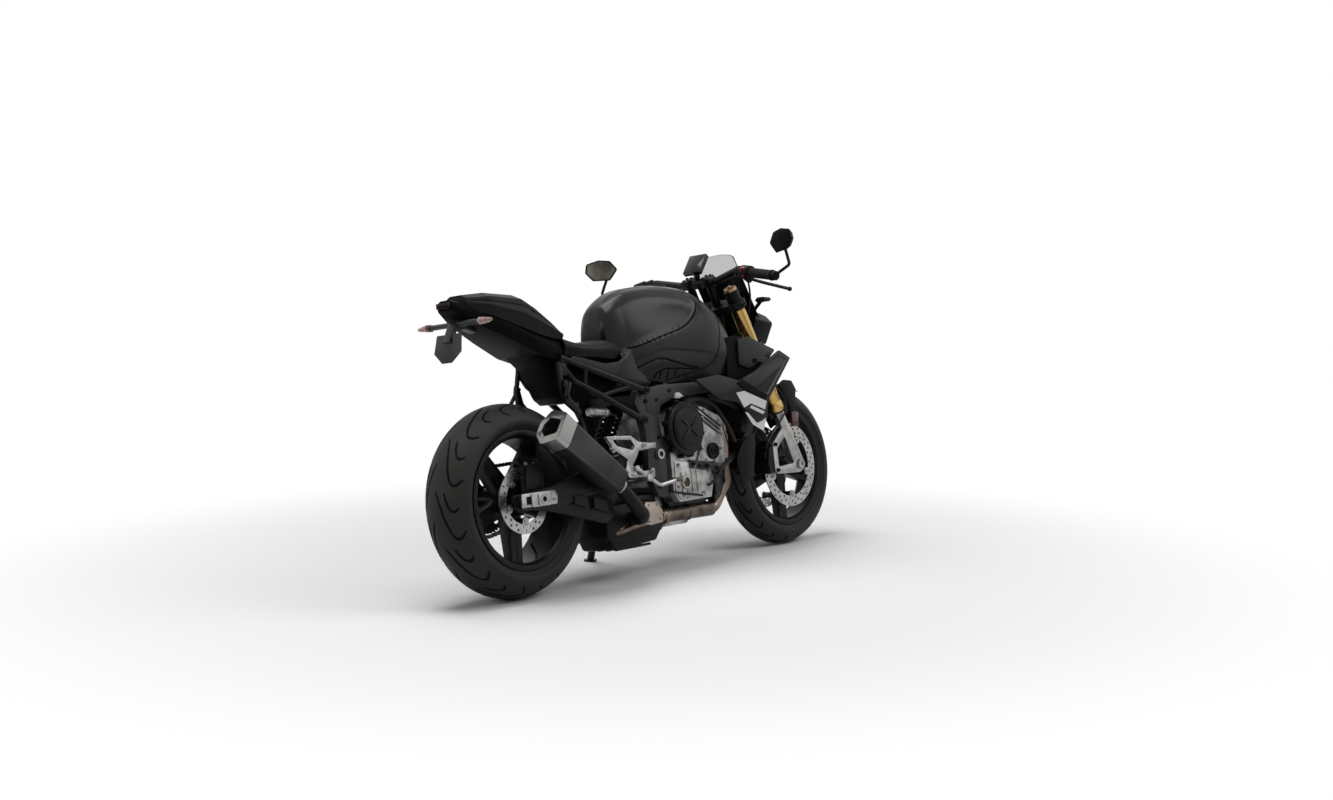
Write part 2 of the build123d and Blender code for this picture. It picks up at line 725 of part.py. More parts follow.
tray_points = [
    (104, seat_height - 16),
    (176, seat_height - 80),
    (232, seat_height - 180),
    (262, seat_height - 202),
    (330, seat_height - 204),
    (470, seat_height - 182),
    (548, seat_height - 132),
    (486, seat_height - 48),
    (300, seat_height - 48),
    (222, seat_height - 50),
]
undertray = slab(tray_points, -66, 66, 6)
undertray = largest(undertray - tail_cover)
undertray = largest(undertray - rider_seat)

holder_points = [
    (-70, pillion_height - 130),
    (-96, pillion_height - 90),
    (-150, pillion_height - 80),
    (-172, pillion_height - 102),
    (-200, pillion_height - 152),
    (-192, pillion_height - 156),
    (-160, pillion_height - 118),
    (-120, pillion_height - 112),
]
plate_holder = slab(holder_points, -16, 16, 3)
stalk_z = pillion_height - 96
stalk = bar((-150, -122, stalk_z), (-150, 122, stalk_z), 9)
backing = Plane(origin=(-190, 0, pillion_height - 174), x_dir=(0, 1, 0), z_dir=(-0.97, 0, 0.24))
plate_face = make_face(Polyline((-62, 46), (62, 46), (66, 12), (22, -48), (-22, -48), (-66, 12), close=True))
plate_holder = plate_holder + stalk + extrude(backing * plate_face, amount=4)
plate_holder = largest(plate_holder - undertray)
plate_holder = largest(plate_holder - tail_cover)

signal_points = [(-22, 0), (-12, 12), (12, 12), (22, 0), (12, -12), (-12, -12)]
signal_root = make_face(Polyline(*signal_points, close=True))
signal = loft([signal_root, Pos(-4, 0, 46) * scale(signal_root, 0.45)], ruled=True)
signal = Plane(origin=(-150, 122, stalk_z), x_dir=(1, 0, 0), z_dir=(0, 1, 0)) * signal
tail_lamp = brick(-198, -186, -30, 30, pillion_height - 44, pillion_height - 26)
rear_lamps = group(signal, other_side(signal), tail_lamp)

# Radiator shrouds
shroud_points = [
    (774, 657),
    (905, 668),
    (1020, 640),
    (1120, 668),
    (1282, 738),
    (1345, 707),
    (1182, 556),
    (1168, 500),
    (1133, 447),
    (1060, 520),
    (1005, 562),
    (900, 580),
]
blade = slab(shroud_points, 196, 204, 4)
upper_points = [(1062, 700), (1068, 792), (1130, 798), (1286, 742), (1230, 704), (1120, 680)]
collar = slab(upper_points, 172, 182, 6)
joiner = brick(1150, 1220, 181, 197, 700, 716)
foot = brick(radiator_x - 52, radiator_x - 14, 160, 197, 560, 610)
shroud = blade + collar + joiner + foot - upper_core
radiator_shrouds = pair(largest(shroud))

# Footrests
hanger_points = [
    (322, 495),
    (447, 488),
    (484, 464),
    (537, 456),
    (537, 436),
    (482, 434),
    (468, 414),
    (442, 386),
    (466, 362),
    (553, 362),
    (553, 338),
    (504, 325),
    (438, 330),
    (402, 368),
    (424, 408),
    (362, 446),
]
hanger_window = [(352, 482), (446, 474), (464, 450), (450, 438), (374, 458)]
hanger = slab(hanger_points, frame_outer + 6, frame_outer + 18, 4)
hanger = hanger - slab(hanger_window, frame_outer, frame_outer + 20, 4)
hanger = hanger + brick(524, 572, frame_outer, frame_outer + 18, 437, 455)
peg = bar((432, frame_outer + 10, 338), (425, frame_outer + 108, 342), 12)
pedal_points = [(455, frame_outer + 24, 375), (560, frame_outer + 30, 306), (640, frame_outer + 44, 318)]
pedal = pipe(pedal_points, 7, 30)
pedal = pedal + bar((455, frame_outer + 10, 375), (455, frame_outer + 30, 375), 10)
toe = bar((634, frame_outer + 30, 318), (634, frame_outer + 78, 318), 8)
footrests = pair(hanger + peg + pedal + toe)

# Pillion footrests, folded up below the tail
arm_points = [
    (140, seat_height - 60),
    (196, seat_height - 70),
    (196, seat_height - 130),
    (226, seat_height - 188),
    (274, seat_height - 236),
    (262, seat_height - 250),
    (198, seat_height - 200),
    (154, seat_height - 138),
]
pillion_arm = slab(arm_points, 106, 118, 6)
pillion_arm = pillion_arm + brick(192, 222, 104, 116, seat_height - 110, seat_height - 70)
folded_peg = bar((216, 126, seat_height - 136), (176, 132, seat_height - 184), 9)
pillion_arm = pillion_arm + folded_peg + brick(180, 206, 116, 128, seat_height - 150, seat_height - 126)
pillion_arm = largest(pillion_arm - rear_subframe - tail_cover)
pillion_footrests = pair(pillion_arm)

# Fork and clamps
tube = steer * Pos(fork_offset, fork_half, fork_bottom) * Cylinder(
    fork_tube_radius, fork_top - fork_bottom, align=(Align.CENTER, Align.CENTER, Align.MIN)
)
fork_tubes = pair(tube)
leg = steer * Pos(fork_offset, fork_half, 30) * Cylinder(
    fork_leg_radius, fork_bottom - 30, align=(Align.CENTER, Align.CENTER, Align.MIN)
)
leg_in = fork_half - 15
leg_out = fork_half + 12
foot_points = [
    (fork_offset + 4, -27),
    (fork_offset + 27, -6),
    (fork_offset + 22, 168),
    (fork_offset - 22, 172),
    (fork_offset - 108, 148),
    (fork_offset - 118, 128),
    (fork_offset - 150, 54),
    (fork_offset - 140, 36),
    (fork_offset - 20, -24),
]
knuckle = steer_slab(foot_points, leg_in, leg_out, 8)
leg = leg + knuckle
leg = leg - front_hub * drum(front_axle_radius + seat_gap, 0, front_axle_half + 20)
window = [(fork_offset - 30, 22), (fork_offset - 28, 136), (fork_offset - 94, 120), (fork_offset - 122, 56)]
leg = leg - steer_slab(window, leg_in - 1, leg_out + 1, 6)
fork_legs = pair(leg)

axle = drum(front_axle_radius, -front_axle_half, front_axle_half)
axle = axle + drum(17, 60.5, leg_in) + drum(17, -leg_in, -60.5)
front_axle = front_hub * (axle - drum(axle_bore, -front_axle_half - 1, front_axle_half + 1))

disc_out = front_disc_in + front_disc_thick
caliper_points = [
    (fork_offset - 84, 118),
    (fork_offset - 122, 40),
    (fork_offset - 178, 58),
    (fork_offset - 166, 100),
    (fork_offset - 134, 142),
    (fork_offset - 104, 150),
]
mount_points = [
    (fork_offset - 109.5, 148),
    (fork_offset - 152, 52),
    (fork_offset - 178, 58),
    (fork_offset - 166, 100),
    (fork_offset - 134, 142),
]
caliper = steer_slab(caliper_points, disc_out - 1, leg_in - 0.2, 5)
inner_half = steer_slab(caliper_points, front_disc_in - 24, disc_out, 5)
caliper = caliper + (inner_half - front_hub * drum(front_boss + 17, 0, disc_out))
caliper = caliper + (steer_slab(mount_points, leg_in - 1, leg_out - 4, 4) - leg)
caliper = caliper - front_hub * drum(front_disc_radius + 6, front_disc_in - pad_gap, disc_out + pad_gap)
caliper = largest(caliper)
front_calipers = pair(caliper)

clamp_edge = fork_tube_radius + clamp_wall
clamp_face = make_face(
    FilletPolyline(
        (fork_offset - clamp_edge, -fork_half - 8),
        (fork_offset + clamp_edge - 6, -fork_half - 20),
        (fork_offset + clamp_edge - 6, fork_half + 20),
        (fork_offset - clamp_edge, fork_half + 8),
        (-38, 40),
        (-38, -40),
        radius=10,
        close=True,
    )
)
clamp_face = clamp_face + Pos(fork_offset, fork_half) * Circle(clamp_edge)
clamp_face = clamp_face + Pos(fork_offset, -fork_half) * Circle(clamp_edge)
clamp_face = clamp_face - Pos(fork_offset, fork_half) * Circle(fork_tube_radius + seat_gap)
clamp_face = clamp_face - Pos(fork_offset, -fork_half) * Circle(fork_tube_radius + seat_gap)
clamp = extrude(clamp_face, amount=clamp_thick)
stem = Cylinder(
    stem_radius,
    upper_clamp_at + clamp_thick - lower_clamp_at,
    align=(Align.CENTER, Align.CENTER, Align.MIN),
)
triple_clamps = Pos(0, 0, lower_clamp_at) * (clamp + stem) + Pos(0, 0, upper_clamp_at) * clamp
triple_clamps = steer * triple_clamps

# Handlebar and hand controls
bar_height = 796.0
bar_rise = 826.0
bar_mid = steer.from_local_coords(Vector(10, 0, bar_height))
bar_knee = steer.from_local_coords(Vector(10, 84, bar_height))
bar_bend = steer.from_local_coords(Vector(2, 196, bar_rise))
bar_end = steer.from_local_coords(Vector(-58, bar_half, bar_rise - 18))
bar_out = (bar_end - bar_bend).normalized()
half_bar = pipe([tuple(bar_mid), tuple(bar_knee), tuple(bar_bend), tuple(bar_end)], bar_radius, 50)
handlebar = half_bar + other_side(half_bar)
riser = steer * Pos(10, 46, upper_clamp_at + clamp_thick) * Cylinder(
    15, bar_height - upper_clamp_at - clamp_thick, align=(Align.CENTER, Align.CENTER, Align.MIN)
)
handlebar = handlebar + riser + other_side(riser)
bar_grip = (bar_knee - bar_mid) * 0.9
handlebar = handlebar + bar(tuple(bar_mid - bar_grip), tuple(bar_mid + bar_grip), 19)


def along_bar(distance, radius, length, bore):
    at = Plane(origin=bar_end - bar_out * distance, x_dir=upward, z_dir=bar_out)
    return at * (
        Cylinder(radius, length, align=(Align.CENTER, Align.CENTER, Align.MIN))
        - Cylinder(bore, length, align=(Align.CENTER, Align.CENTER, Align.MIN))
    )


grips = pair(along_bar(grip_length + 4, grip_radius, grip_length, bar_radius + seat_gap))
switches = along_bar(grip_length + 48, 25, 43, bar_radius + seat_gap)
control_at = bar_end - bar_out * (grip_length + 72)
perch = along_bar(grip_length + 80, 20, 30, bar_radius + seat_gap)
reach_way = (forward * 0.55 - upward * 0.83).normalized()
reach = Plane(origin=control_at, x_dir=reach_way, z_dir=bar_out)
block = reach * Pos(38, 0, 6) * Box(44, 22, 24)
perch = perch + (block - reach * Cylinder(bar_radius + seat_gap, 60))
hand_controls = pair(switches + perch)
lever_start = control_at + reach_way * 50 + bar_out * 18.5
lever_knee = control_at + reach_way * 66 + bar_out * 78
lever_tip = control_at + reach_way * 92 + bar_out * 206
lever = pipe([tuple(lever_start), tuple(lever_knee), tuple(lever_tip)], 6, 40)
levers = pair(largest(lever - (switches + perch)))

# Bar-end mirrors
mirror_knee = (bar_end.X + 26, mirror_half + 8, bar_end.Z + 32)
mirror_stem = (bar_end.X + 44, mirror_half - 20, mirror_height - 16)
bar_cap = along_bar(0, grip_radius, 16, 0.5)
mirror_root = bar_end + bar_out * 8
mirror_arm = pipe([tuple(mirror_root), mirror_knee, mirror_stem], 5.5, 12)
mirror_at = Plane(
    origin=(bar_end.X + 14, mirror_half - 12, mirror_height),
    x_dir=(-sin(radians(mirror_turn)), cos(radians(mirror_turn)), 0),
    z_dir=(cos(radians(mirror_turn)), sin(radians(mirror_turn)), 0),
)
mirror_points = [(-70, -2), (-40, 34), (8, 42), (62, 32), (70, -2), (40, -36), (-34, -42)]
mirror_face = make_face(FilletPolyline(*mirror_points, radius=10, close=True))
mirror_small = make_face(
    FilletPolyline(*[(0.72 * across, 0.72 * up) for across, up in mirror_points], radius=7, close=True)
)
mirror_head = mirror_at * loft([mirror_face, Pos(0, 0, 22) * mirror_small])
mirrors = pair(bar_cap + mirror_arm + mirror_head)

# Headlamp, screen and display
lamp_rear = Plane(origin=(wheelbase - 150, 0, 856), x_dir=(0, 1, 0), z_dir=(1, 0, 0))
lamp_front = Plane(origin=(wheelbase - 38, 0, 828), x_dir=(0, 1, 0), z_dir=(1, 0, 0))
rear_points = [(-96, 8), (-60, 58), (60, 58), (96, 8), (58, -62), (-58, -62)]
front_points = [(-88, 20), (-56, 52), (56, 52), (88, 20), (46, -56), (-46, -56)]
headlamp = loft(
    [
        lamp_rear * make_face(FilletPolyline(*rear_points, radius=12, close=True)),
        lamp_front * make_face(FilletPolyline(*front_points, radius=12, close=True)),
    ]
)
clamp_front = fork_offset + clamp_edge - 6 + seat_gap
low_arm = [
    (clamp_front, lower_clamp_at + 2),
    (clamp_front, lower_clamp_at + 28),
    (140, 620),
    (165, 600),
    (118, 520),
]
high_arm = [
    (clamp_front, upper_clamp_at + 2),
    (clamp_front, upper_clamp_at + 28),
    (165, 628),
    (150, 596),
]
lamp_arm = steer_slab(low_arm, 40, 48) + steer_slab(high_arm, 40, 48)
pod_front = Pos(6, 0, 40) * scale(signal_root, (0.75, 0.6, 1))
pod = loft([scale(signal_root, (1.1, 0.85, 1)), pod_front], ruled=True)
pod = Plane(origin=(wheelbase - 218, 176, 932), x_dir=(0, 1, 0), z_dir=(1, 0, 0)) * pod
lamp_arm = lamp_arm + pod + bar((wheelbase - 140, 70, 890), (wheelbase - 196, 165, 930), 7)
headlamp = headlamp + lamp_arm + other_side(lamp_arm)

screen_at = Plane(origin=(wheelbase - 108, 0, 890), x_dir=(0.893, 0, 0.45), z_dir=(-0.45, 0, 0.893))
screen_front = ThreePointArc((-46, -112), (0, 0), (-46, 112))
screen_back = ThreePointArc((-46 - screen_thick, -112), (-screen_thick, 0), (-46 - screen_thick, 112))
screen_edges = [
    screen_front,
    screen_back,
    Line(screen_front @ 0, screen_back @ 0),
    Line(screen_front @ 1, screen_back @ 1),
]
windscreen = screen_at * extrude(make_face(screen_edges), amount=260) - headlamp
windscreen = largest(windscreen)

display_at = Plane(origin=bar_mid + Vector(-8, 0, 70), x_dir=(0, 1, 0), z_dir=(-0.78, 0, 0.62))
display = display_at * Box(80, 84, 18)
display_foot = bar(tuple(bar_mid + upward * 19), tuple(bar_mid + Vector(-4, 0, 62)), 11)
display = display + display_foot - handlebar
display = largest(display)

# Front mudguard
guard_low = front_radius + guard_gap
guard_section = [(-22, -70), (-6, -46), (0, -16), (0, 16), (-6, 46), (-22, 70)]
guard_ring = [(guard_low + rise, across) for rise, across in guard_section]
guard_ring = guard_ring + [(out + guard_thick, across) for out, across in reversed(guard_ring)]
guard = revolve(make_face(Polyline(*guard_ring, close=True)), Axis.Y, revolution_arc=98)
guard = front_hub * Rot(0, -168, 0) * guard
stay_points = [
    (fork_offset - 26, 172),
    (fork_offset + 12, 172),
    (fork_offset + 26, 300),
    (fork_offset - 40, 300),
]
stay = steer_slab(stay_points, 60, 72, 6)
stay = stay + steer * Pos(fork_offset, 80, 188) * Box(24, 24, 22) - leg
stay = largest(stay)
stay = stay - front_hub * drum(guard_low - 25, 0, 66.5)
front_mudguard = guard + stay + other_side(stay)

# Front brake hoses, clipped along the fork
master_low = control_at + forward * 34 - upward * 13.3 + bar_out * 2
joint = steer * Pos(clamp_front + 8, 0, lower_clamp_at + 14) * Box(15.4, 30, 18)
down_hose = [
    (clamp_front + 8, 10, lower_clamp_at + 8),
    (clamp_front + 8, 22, lower_clamp_at - 50),
    (clamp_front + 8, fork_half + 4, lower_clamp_at - 150),
    (clamp_front + 8, fork_half + 30, 232),
    (fork_offset - 50, fork_half + 32, 205),
    (fork_offset - 118, fork_half - 4, 176),
    (fork_offset - 136, fork_half - 6, 130),
]
down = pipe([tuple(steer.from_local_coords(Vector(*point))) for point in down_hose], 3.6, 12)
over_hose = [
    (clamp_front + 8, -8, lower_clamp_at + 20),
    (clamp_front + 8, -8, lower_clamp_at + 60),
    (clamp_front + 26, -150, upper_clamp_at - 20),
]
over = [tuple(steer.from_local_coords(Vector(*point))) for point in over_hose]
over.append((master_low.X, -master_low.Y, master_low.Z))
brake_hoses = joint + down + other_side(down) + pipe(over, 3.6, 16)
brake_hoses = brake_hoses - front_calipers - hand_controls

# Place on the ground: the machine leans on its stand with both tyres touching
rear_crown = crown_radius(rear_width, rear_drop)
front_crown = crown_radius(front_width, front_drop)
sink = 1 - cos(radians(lean))
pitch = degrees((rear_crown - front_crown) * sink / wheelbase)
lift = rear_crown * sink

# Side stand
foot_level = stand_foot_x * sin(radians(pitch)) - lift
foot_z = (foot_level + stand_foot_y * sin(radians(lean))) / cos(radians(lean))
ground_up = Vector(0, -sin(radians(lean)), cos(radians(lean)))
stand_foot = Vector(stand_foot_x, stand_foot_y, foot_z)
stand_pivot = Vector(stand_pivot_x, stand_pivot_y, stand_pivot_z)
stand_dir = (stand_foot - stand_pivot).normalized()
folded = Vector(-0.97, 0.2, 0.14).normalized()
stand_axis = Vector(1, 0, 0).cross(stand_dir - folded).normalized()
side_stand = Plane(origin=stand_foot, z_dir=ground_up) * Cylinder(
    24, 7, align=(Align.CENTER, Align.CENTER, Align.MIN)
)
side_stand = side_stand + bar(
    tuple(stand_pivot + stand_dir * stand_radius * 1.3), tuple(stand_foot + ground_up * 4), stand_radius
)
head_half = stand_axis * stand_head
stand_top = bar(tuple(stand_pivot - head_half), tuple(stand_pivot + head_half), stand_radius + 5)
side_stand = side_stand + stand_top
lug_at = Plane(origin=stand_pivot - stand_axis * (stand_head + 12), x_dir=(1, 0, 0), z_dir=stand_axis)
lug_points = [(-20, 0), (20, 0), (36, -62), (-8, -62)]
lug_face = make_face(Polyline(*lug_points, close=True)) + Circle(20)
main_frame = main_frame + extrude(lug_at * lug_face, amount=12 - seat_gap)

parked = Pos(0, 0, lift) * Rot(0, pitch, 0) * Rot(-lean, 0, 0)
nodes = {
    "front_tyre": front_tyre,
    "front_rim": front_rim,
    "front_discs": front_discs,
    "rear_tyre": rear_tyre,
    "rear_rim": rear_rim,
    "rear_disc": rear_disc,
    "rear_sprocket": rear_sprocket,
    "drive_chain": drive_chain,
    "front_sprocket": front_sprocket,
    "swingarm": swingarm,
    "rear_axle": rear_axle,
    "rear_caliper": rear_caliper,
    "rear_shock": rear_shock,
    "main_frame": main_frame,
    "rear_subframe": rear_subframe,
    "crankcase": crankcase,
    "cylinder_head": cylinder_head,
    "clutch_cover": clutch_cover,
    "left_engine_covers": left_engine_covers,
    "radiator": radiator,
    "exhaust_box": exhaust_box,
    "exhaust_headers": exhaust_headers,
    "silencer": silencer,
    "fuel_tank": fuel_tank,
    "tank_side_panels": tank_side_panels,
    "rider_seat": rider_seat,
    "pillion_seat": pillion_seat,
    "tail_cover": tail_cover,
    "undertray": undertray,
    "plate_holder": plate_holder,
    "rear_lamps": rear_lamps,
    "radiator_shrouds": radiator_shrouds,
    "footrests": footrests,
    "pillion_footrests": pillion_footrests,
    "fork_tubes": fork_tubes,
    "fork_legs": fork_legs,
    "front_axle": front_axle,
    "front_calipers": front_calipers,
    "triple_clamps": triple_clamps,
    "handlebar": handlebar,
    "grips": grips,
    "hand_controls": hand_controls,
    "levers": levers,
    "mirrors": mirrors,
    "headlamp": headlamp,
    "windscreen": windscreen,
    "display": display,
    "front_mudguard": front_mudguard,
    "brake_hoses": brake_hoses,
    "side_stand": side_stand,
}
boxes = [(parked * piece).bounding_box() for piece in nodes.values()]
middle_x = (min(box.min.X for box in boxes) + max(box.max.X for box in boxes)) / 2
middle_y = (min(box.min.Y for box in boxes) + max(box.max.Y for box in boxes)) / 2
place = Pos(-middle_x, -middle_y, 0) * parked

os.makedirs("parts", exist_ok=True)
for name, piece in nodes.items():
    export_step(place * piece, "parts/" + name + ".step")
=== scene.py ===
import json
import math

import bmesh
import bpy
from mathutils import Matrix, Vector
from mathutils.bvhtree import BVHTree
from mathutils.kdtree import KDTree


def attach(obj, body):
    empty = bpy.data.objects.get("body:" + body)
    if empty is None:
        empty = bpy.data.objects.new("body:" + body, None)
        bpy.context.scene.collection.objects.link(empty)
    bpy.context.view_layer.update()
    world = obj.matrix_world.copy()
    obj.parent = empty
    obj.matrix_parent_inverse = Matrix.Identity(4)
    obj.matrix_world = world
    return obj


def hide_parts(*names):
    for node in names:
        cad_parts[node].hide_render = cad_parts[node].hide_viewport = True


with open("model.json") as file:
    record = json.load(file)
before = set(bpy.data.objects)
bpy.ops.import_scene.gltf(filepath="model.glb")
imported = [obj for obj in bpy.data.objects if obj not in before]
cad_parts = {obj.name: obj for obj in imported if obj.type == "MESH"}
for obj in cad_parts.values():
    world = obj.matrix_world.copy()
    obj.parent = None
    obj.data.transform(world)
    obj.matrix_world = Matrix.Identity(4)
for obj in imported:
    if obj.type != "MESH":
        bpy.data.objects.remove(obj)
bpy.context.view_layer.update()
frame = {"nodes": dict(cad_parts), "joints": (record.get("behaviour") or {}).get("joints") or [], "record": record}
print("frame loaded:", len(frame["nodes"]), "nodes")

# the machine is modelled upright in millimetres: x forward from the rear axle, y left, z up
machine = dict(
    wheelbase=1450, rearRadius=320, frontRadius=300, rake=24.2, forkOffset=35.4, forkHalf=110
)
joints = {j["name"]: j for j in frame["joints"]}
rearHub = Vector(joints["rear_wheel_spin"]["pos_m"])
leftWay = Vector(joints["rear_wheel_spin"]["axis"]).normalized()
aheadWay = leftWay.cross(Vector((0, 0, 1))).normalized()
upWay = aheadWay.cross(leftWay)


def frameMatrix(origin, ahead, left, up, size=1.0):
    m = Matrix((ahead, left, up)).transposed().to_4x4() @ Matrix.Scale(size, 4)
    m.translation = origin
    return m


park = frameMatrix(rearHub - upWay * machine["rearRadius"] / 1000, aheadWay, leftWay, upWay, 0.001)
upright = park.inverted()
rakeTurn = math.radians(machine["rake"])
rakeAhead = Vector((math.cos(rakeTurn), 0, math.sin(rakeTurn)))
rakeUp = Vector((-math.sin(rakeTurn), 0, math.cos(rakeTurn)))
frontHub = Vector((machine["wheelbase"], 0, machine["frontRadius"]))
steerAt = frontHub - rakeAhead * machine["forkOffset"]
steerFrame = frameMatrix(steerAt, rakeAhead, Vector((0, 1, 0)), rakeUp)  # z up along the stem
steer = park @ steerFrame
rearAxle = park @ Matrix.Translation((0, 0, machine["rearRadius"]))
frontAxle = park @ Matrix.Translation(frontHub)
onFork = dict(body="steering", where=steer)


# materials
def shaderNode(tree, kind, **values):
    made = tree.nodes.new("ShaderNode" + kind)
    for socket, value in values.items():
        made.inputs[socket.replace("_", " ")].default_value = value
    return made


def link(source, out, target, into):
    target.id_data.links.new(source.outputs[out], target.inputs[into])


def noiseNode(tree, size, detail):
    noise = shaderNode(tree, "TexNoise", Scale=size, Detail=detail)
    link(shaderNode(tree, "TexCoord"), "Object", noise, "Vector")
    return noise


def material(
    name, colour, metal, rough, coat=0.0, grain=0.0, grainSize=40.0, spread=0.0, shine=0.5, **more
):
    mat = bpy.data.materials.new(name)
    mat.use_nodes = True
    tree = mat.node_tree
    skin = tree.nodes["Principled BSDF"]
    more.update(Metallic=metal, Roughness=rough, Coat_Weight=coat, Coat_Roughness=0.12)
    more.update(Base_Color=(*colour, 1), Specular_IOR_Level=shine)
    for socket, value in more.items():
        skin.inputs[socket.replace("_", " ")].default_value = value
    if grain or spread:
        noise = noiseNode(tree, grainSize, 6)
    if grain:
        bump = shaderNode(tree, "Bump", Strength=grain, Distance=0.001)
        link(noise, "Fac", bump, "Height")
        link(bump, "Normal", skin, "Normal")
    if spread:
        ends = dict(
            From_Min=0.3, From_Max=0.7, To_Min=max(rough - spread, 0.02), To_Max=rough + spread
        )
        span = shaderNode(tree, "MapRange", **ends)
        link(noise, "Fac", span, "Value")
        link(span, "Result", skin, "Roughness")
    return mat


def mottled(mat, other, size, low=0.4, high=0.65):
    tree = mat.node_tree
    skin = tree.nodes["Principled BSDF"]
    ramp = shaderNode(tree, "ValToRGB")
    first, last = ramp.color_ramp.elements
    first.position, last.position = low, high
    first.color, last.color = skin.inputs["Base Color"].default_value, (*other, 1)
    link(noiseNode(tree, size, 4), "Fac", ramp, "Fac")
    link(ramp, "Color", skin, "Base Color")
    return mat


def brushed(mat, across, strength):
    tree = mat.node_tree
    turn = shaderNode(tree, "Mapping", Scale=across)
    noise = shaderNode(tree, "TexNoise", Scale=1, Detail=5)
    bump = shaderNode(tree, "Bump", Strength=strength, Distance=0.0006)
    link(shaderNode(tree, "TexCoord"), "Object", turn, "Vector")
    link(turn, "Vector", noise, "Vector")
    link(noise, "Fac", bump, "Height")
    link(bump, "Normal", tree.nodes["Principled BSDF"], "Normal")
    return mat


paintGrey = material("paintGrey", (0.0068, 0.0066, 0.006), 0, 0.3, 0, 0.03, 1600, 0.03, shine=0.24)
kneeGloss = material("kneeGloss", (0.0075, 0.0071, 0.0064), 0, 0.24, 0, 0.02, 1400, 0.02, shine=0.2)
# near-black: the colour of real seams and joints, and painted shade in tread grooves, tank gills, the tank fold
# and the axle slots
seamAndShadeBlack = material("seamAndShadeBlack", (0.002, 0.002, 0.002), 0, 0.7, 0, 0.1, 900, shine=0.08)
satinBlack = material(
    "satinBlack", (0.0045, 0.0045, 0.0047), 0, 0.36, 0, 0.08, 900, 0.05, shine=0.16
)
frameGrey = material("frameGrey", (0.02, 0.02, 0.0205), 0, 0.44, 0, 0.1, 800, 0.05, shine=0.3)
plasticBlack = material(
    "plasticBlack", (0.0026, 0.0026, 0.0027), 0, 0.42, 0, 0.2, 1400, 0.06, shine=0.1
)
tyreRubber = material(
    "tyreRubber", (0.0125, 0.0115, 0.0105), 0, 0.62, 0, 0.3, 500, 0.08, shine=0.24
)
mottled(tyreRubber, (0.018, 0.0165, 0.0148), 9)
castSilver = material("castSilver", (0.4, 0.395, 0.388), 1, 0.38, 0, 0.35, 900, 0.07)
mottled(castSilver, (0.17, 0.167, 0.163), 22)
# a darker copy of castSilver for the cylinder head and the engine underside, where it also serves as painted shade
castDarkAndShade = material("castDarkAndShade", (0.04, 0.04, 0.04), 0.9, 0.44, 0, 0.35, 900, 0.07)
mottled(castDarkAndShade, (0.018, 0.018, 0.0185), 24)
brightSilver = material("brightSilver", (0.4, 0.395, 0.385), 1, 0.3, 0, 0.15, 900, 0.06)
mottled(brightSilver, (0.29, 0.286, 0.28), 34)
groundSteel = material("groundSteel", (0.42, 0.415, 0.41), 1, 0.3, 0, 0.12, 700, 0.06)
mottled(groundSteel, (0.32, 0.316, 0.31), 26)
heatBronze = material("heatBronze", (0.22, 0.178, 0.15), 1, 0.28, 0, 0.12, 90, 0.08)
mottled(heatBronze, (0.05, 0.041, 0.036), 9)
shieldBronze = material("shieldBronze", (0.4, 0.345, 0.295), 1, 0.34, 0, 0.1, 300, 0.06)
mottled(shieldBronze, (0.3, 0.25, 0.21), 14)
blackSteel = material(
    "blackSteel", (0.0045, 0.0045, 0.0047), 0.1, 0.38, 0, 0.12, 700, 0.06, shine=0.12
)
canDark = material("canDark", (0.06, 0.06, 0.061), 1, 0.3)
brushed(mottled(canDark, (0.026, 0.026, 0.027), 4), (900, 40, 40), 0.25)
canBright = brushed(material("canBright", (0.33, 0.326, 0.316), 1, 0.27), (700, 60, 60), 0.3)
chainSteel = material("chainSteel", (0.14, 0.133, 0.12), 1, 0.36, 0, 0.1, 600, 0.06)
mottled(chainSteel, (0.07, 0.066, 0.062), 80)
forkGold = material("forkGold", (0.55, 0.36, 0.125), 1, 0.25, 0, 0.05, 900, 0.04)
capBronze = material("capBronze", (0.36, 0.23, 0.14), 1, 0.3, 0, 0.05, 700, 0.05)
seatSkin = material("seatSkin", (0.0042, 0.0042, 0.0043), 0, 0.46, 0, 0.5, 1300, 0.06, shine=0.14)
gripRubber = material("gripRubber", (0.0055, 0.0055, 0.0055), 0, 0.6, 0, 0.3, 900, 0.05, shine=0.2)
clearRose = material("clearRose", (0.5, 0.34, 0.32), 0, 0.16, 0, 0.3, 240, Transmission_Weight=0.25)
mottled(clearRose, (0.26, 0.14, 0.13), 90)
lampRed = material("lampRed", (0.008, 0.001, 0.001), 0, 0.2, 0, 0.2, 300, shine=0.15)
reflectorRed = material("reflectorRed", (0.05, 0.009, 0.007), 0, 0.25, 0.3, 0.4, 500)
smokeScreen = material(
    "smokeScreen", (0.52, 0.52, 0.535), 0, 0.02, 0, 0.0, 30, Transmission_Weight=1, IOR=1.01
)
sightAmber = material("sightAmber", (0.05, 0.033, 0.006), 0, 0.14, 0, 0.05, 60, shine=0.2)
blackGlass = material("blackGlass", (0.003, 0.003, 0.0033), 0, 0.12, 0, 0.01, 40, shine=0.3)
mirrorGlass = material("mirrorGlass", (0.012, 0.011, 0.01), 1, 0.07, 0, 0.01, 20)
mottled(mirrorGlass, (0.04, 0.036, 0.03), 9)
lensClear = material("lensClear", (0.5, 0.52, 0.54), 0.6, 0.12, 0.4, 0.1, 200)
decalSilver = material("decalSilver", (0.6, 0.6, 0.59), 0.1, 0.36, 0.2, 0.05, 1200, 0.03)
switchRed = material("switchRed", (0.22, 0.008, 0.012), 0, 0.35, 0.1, 0.1, 900)
trayBlack = material("trayBlack", (0.004, 0.004, 0.0041), 0, 0.4, 0, 0.2, 1200, 0.05, shine=0.025)

bodyOf = {n: b for b, members in frame["record"]["behaviour"]["bodies"].items() for n in members}


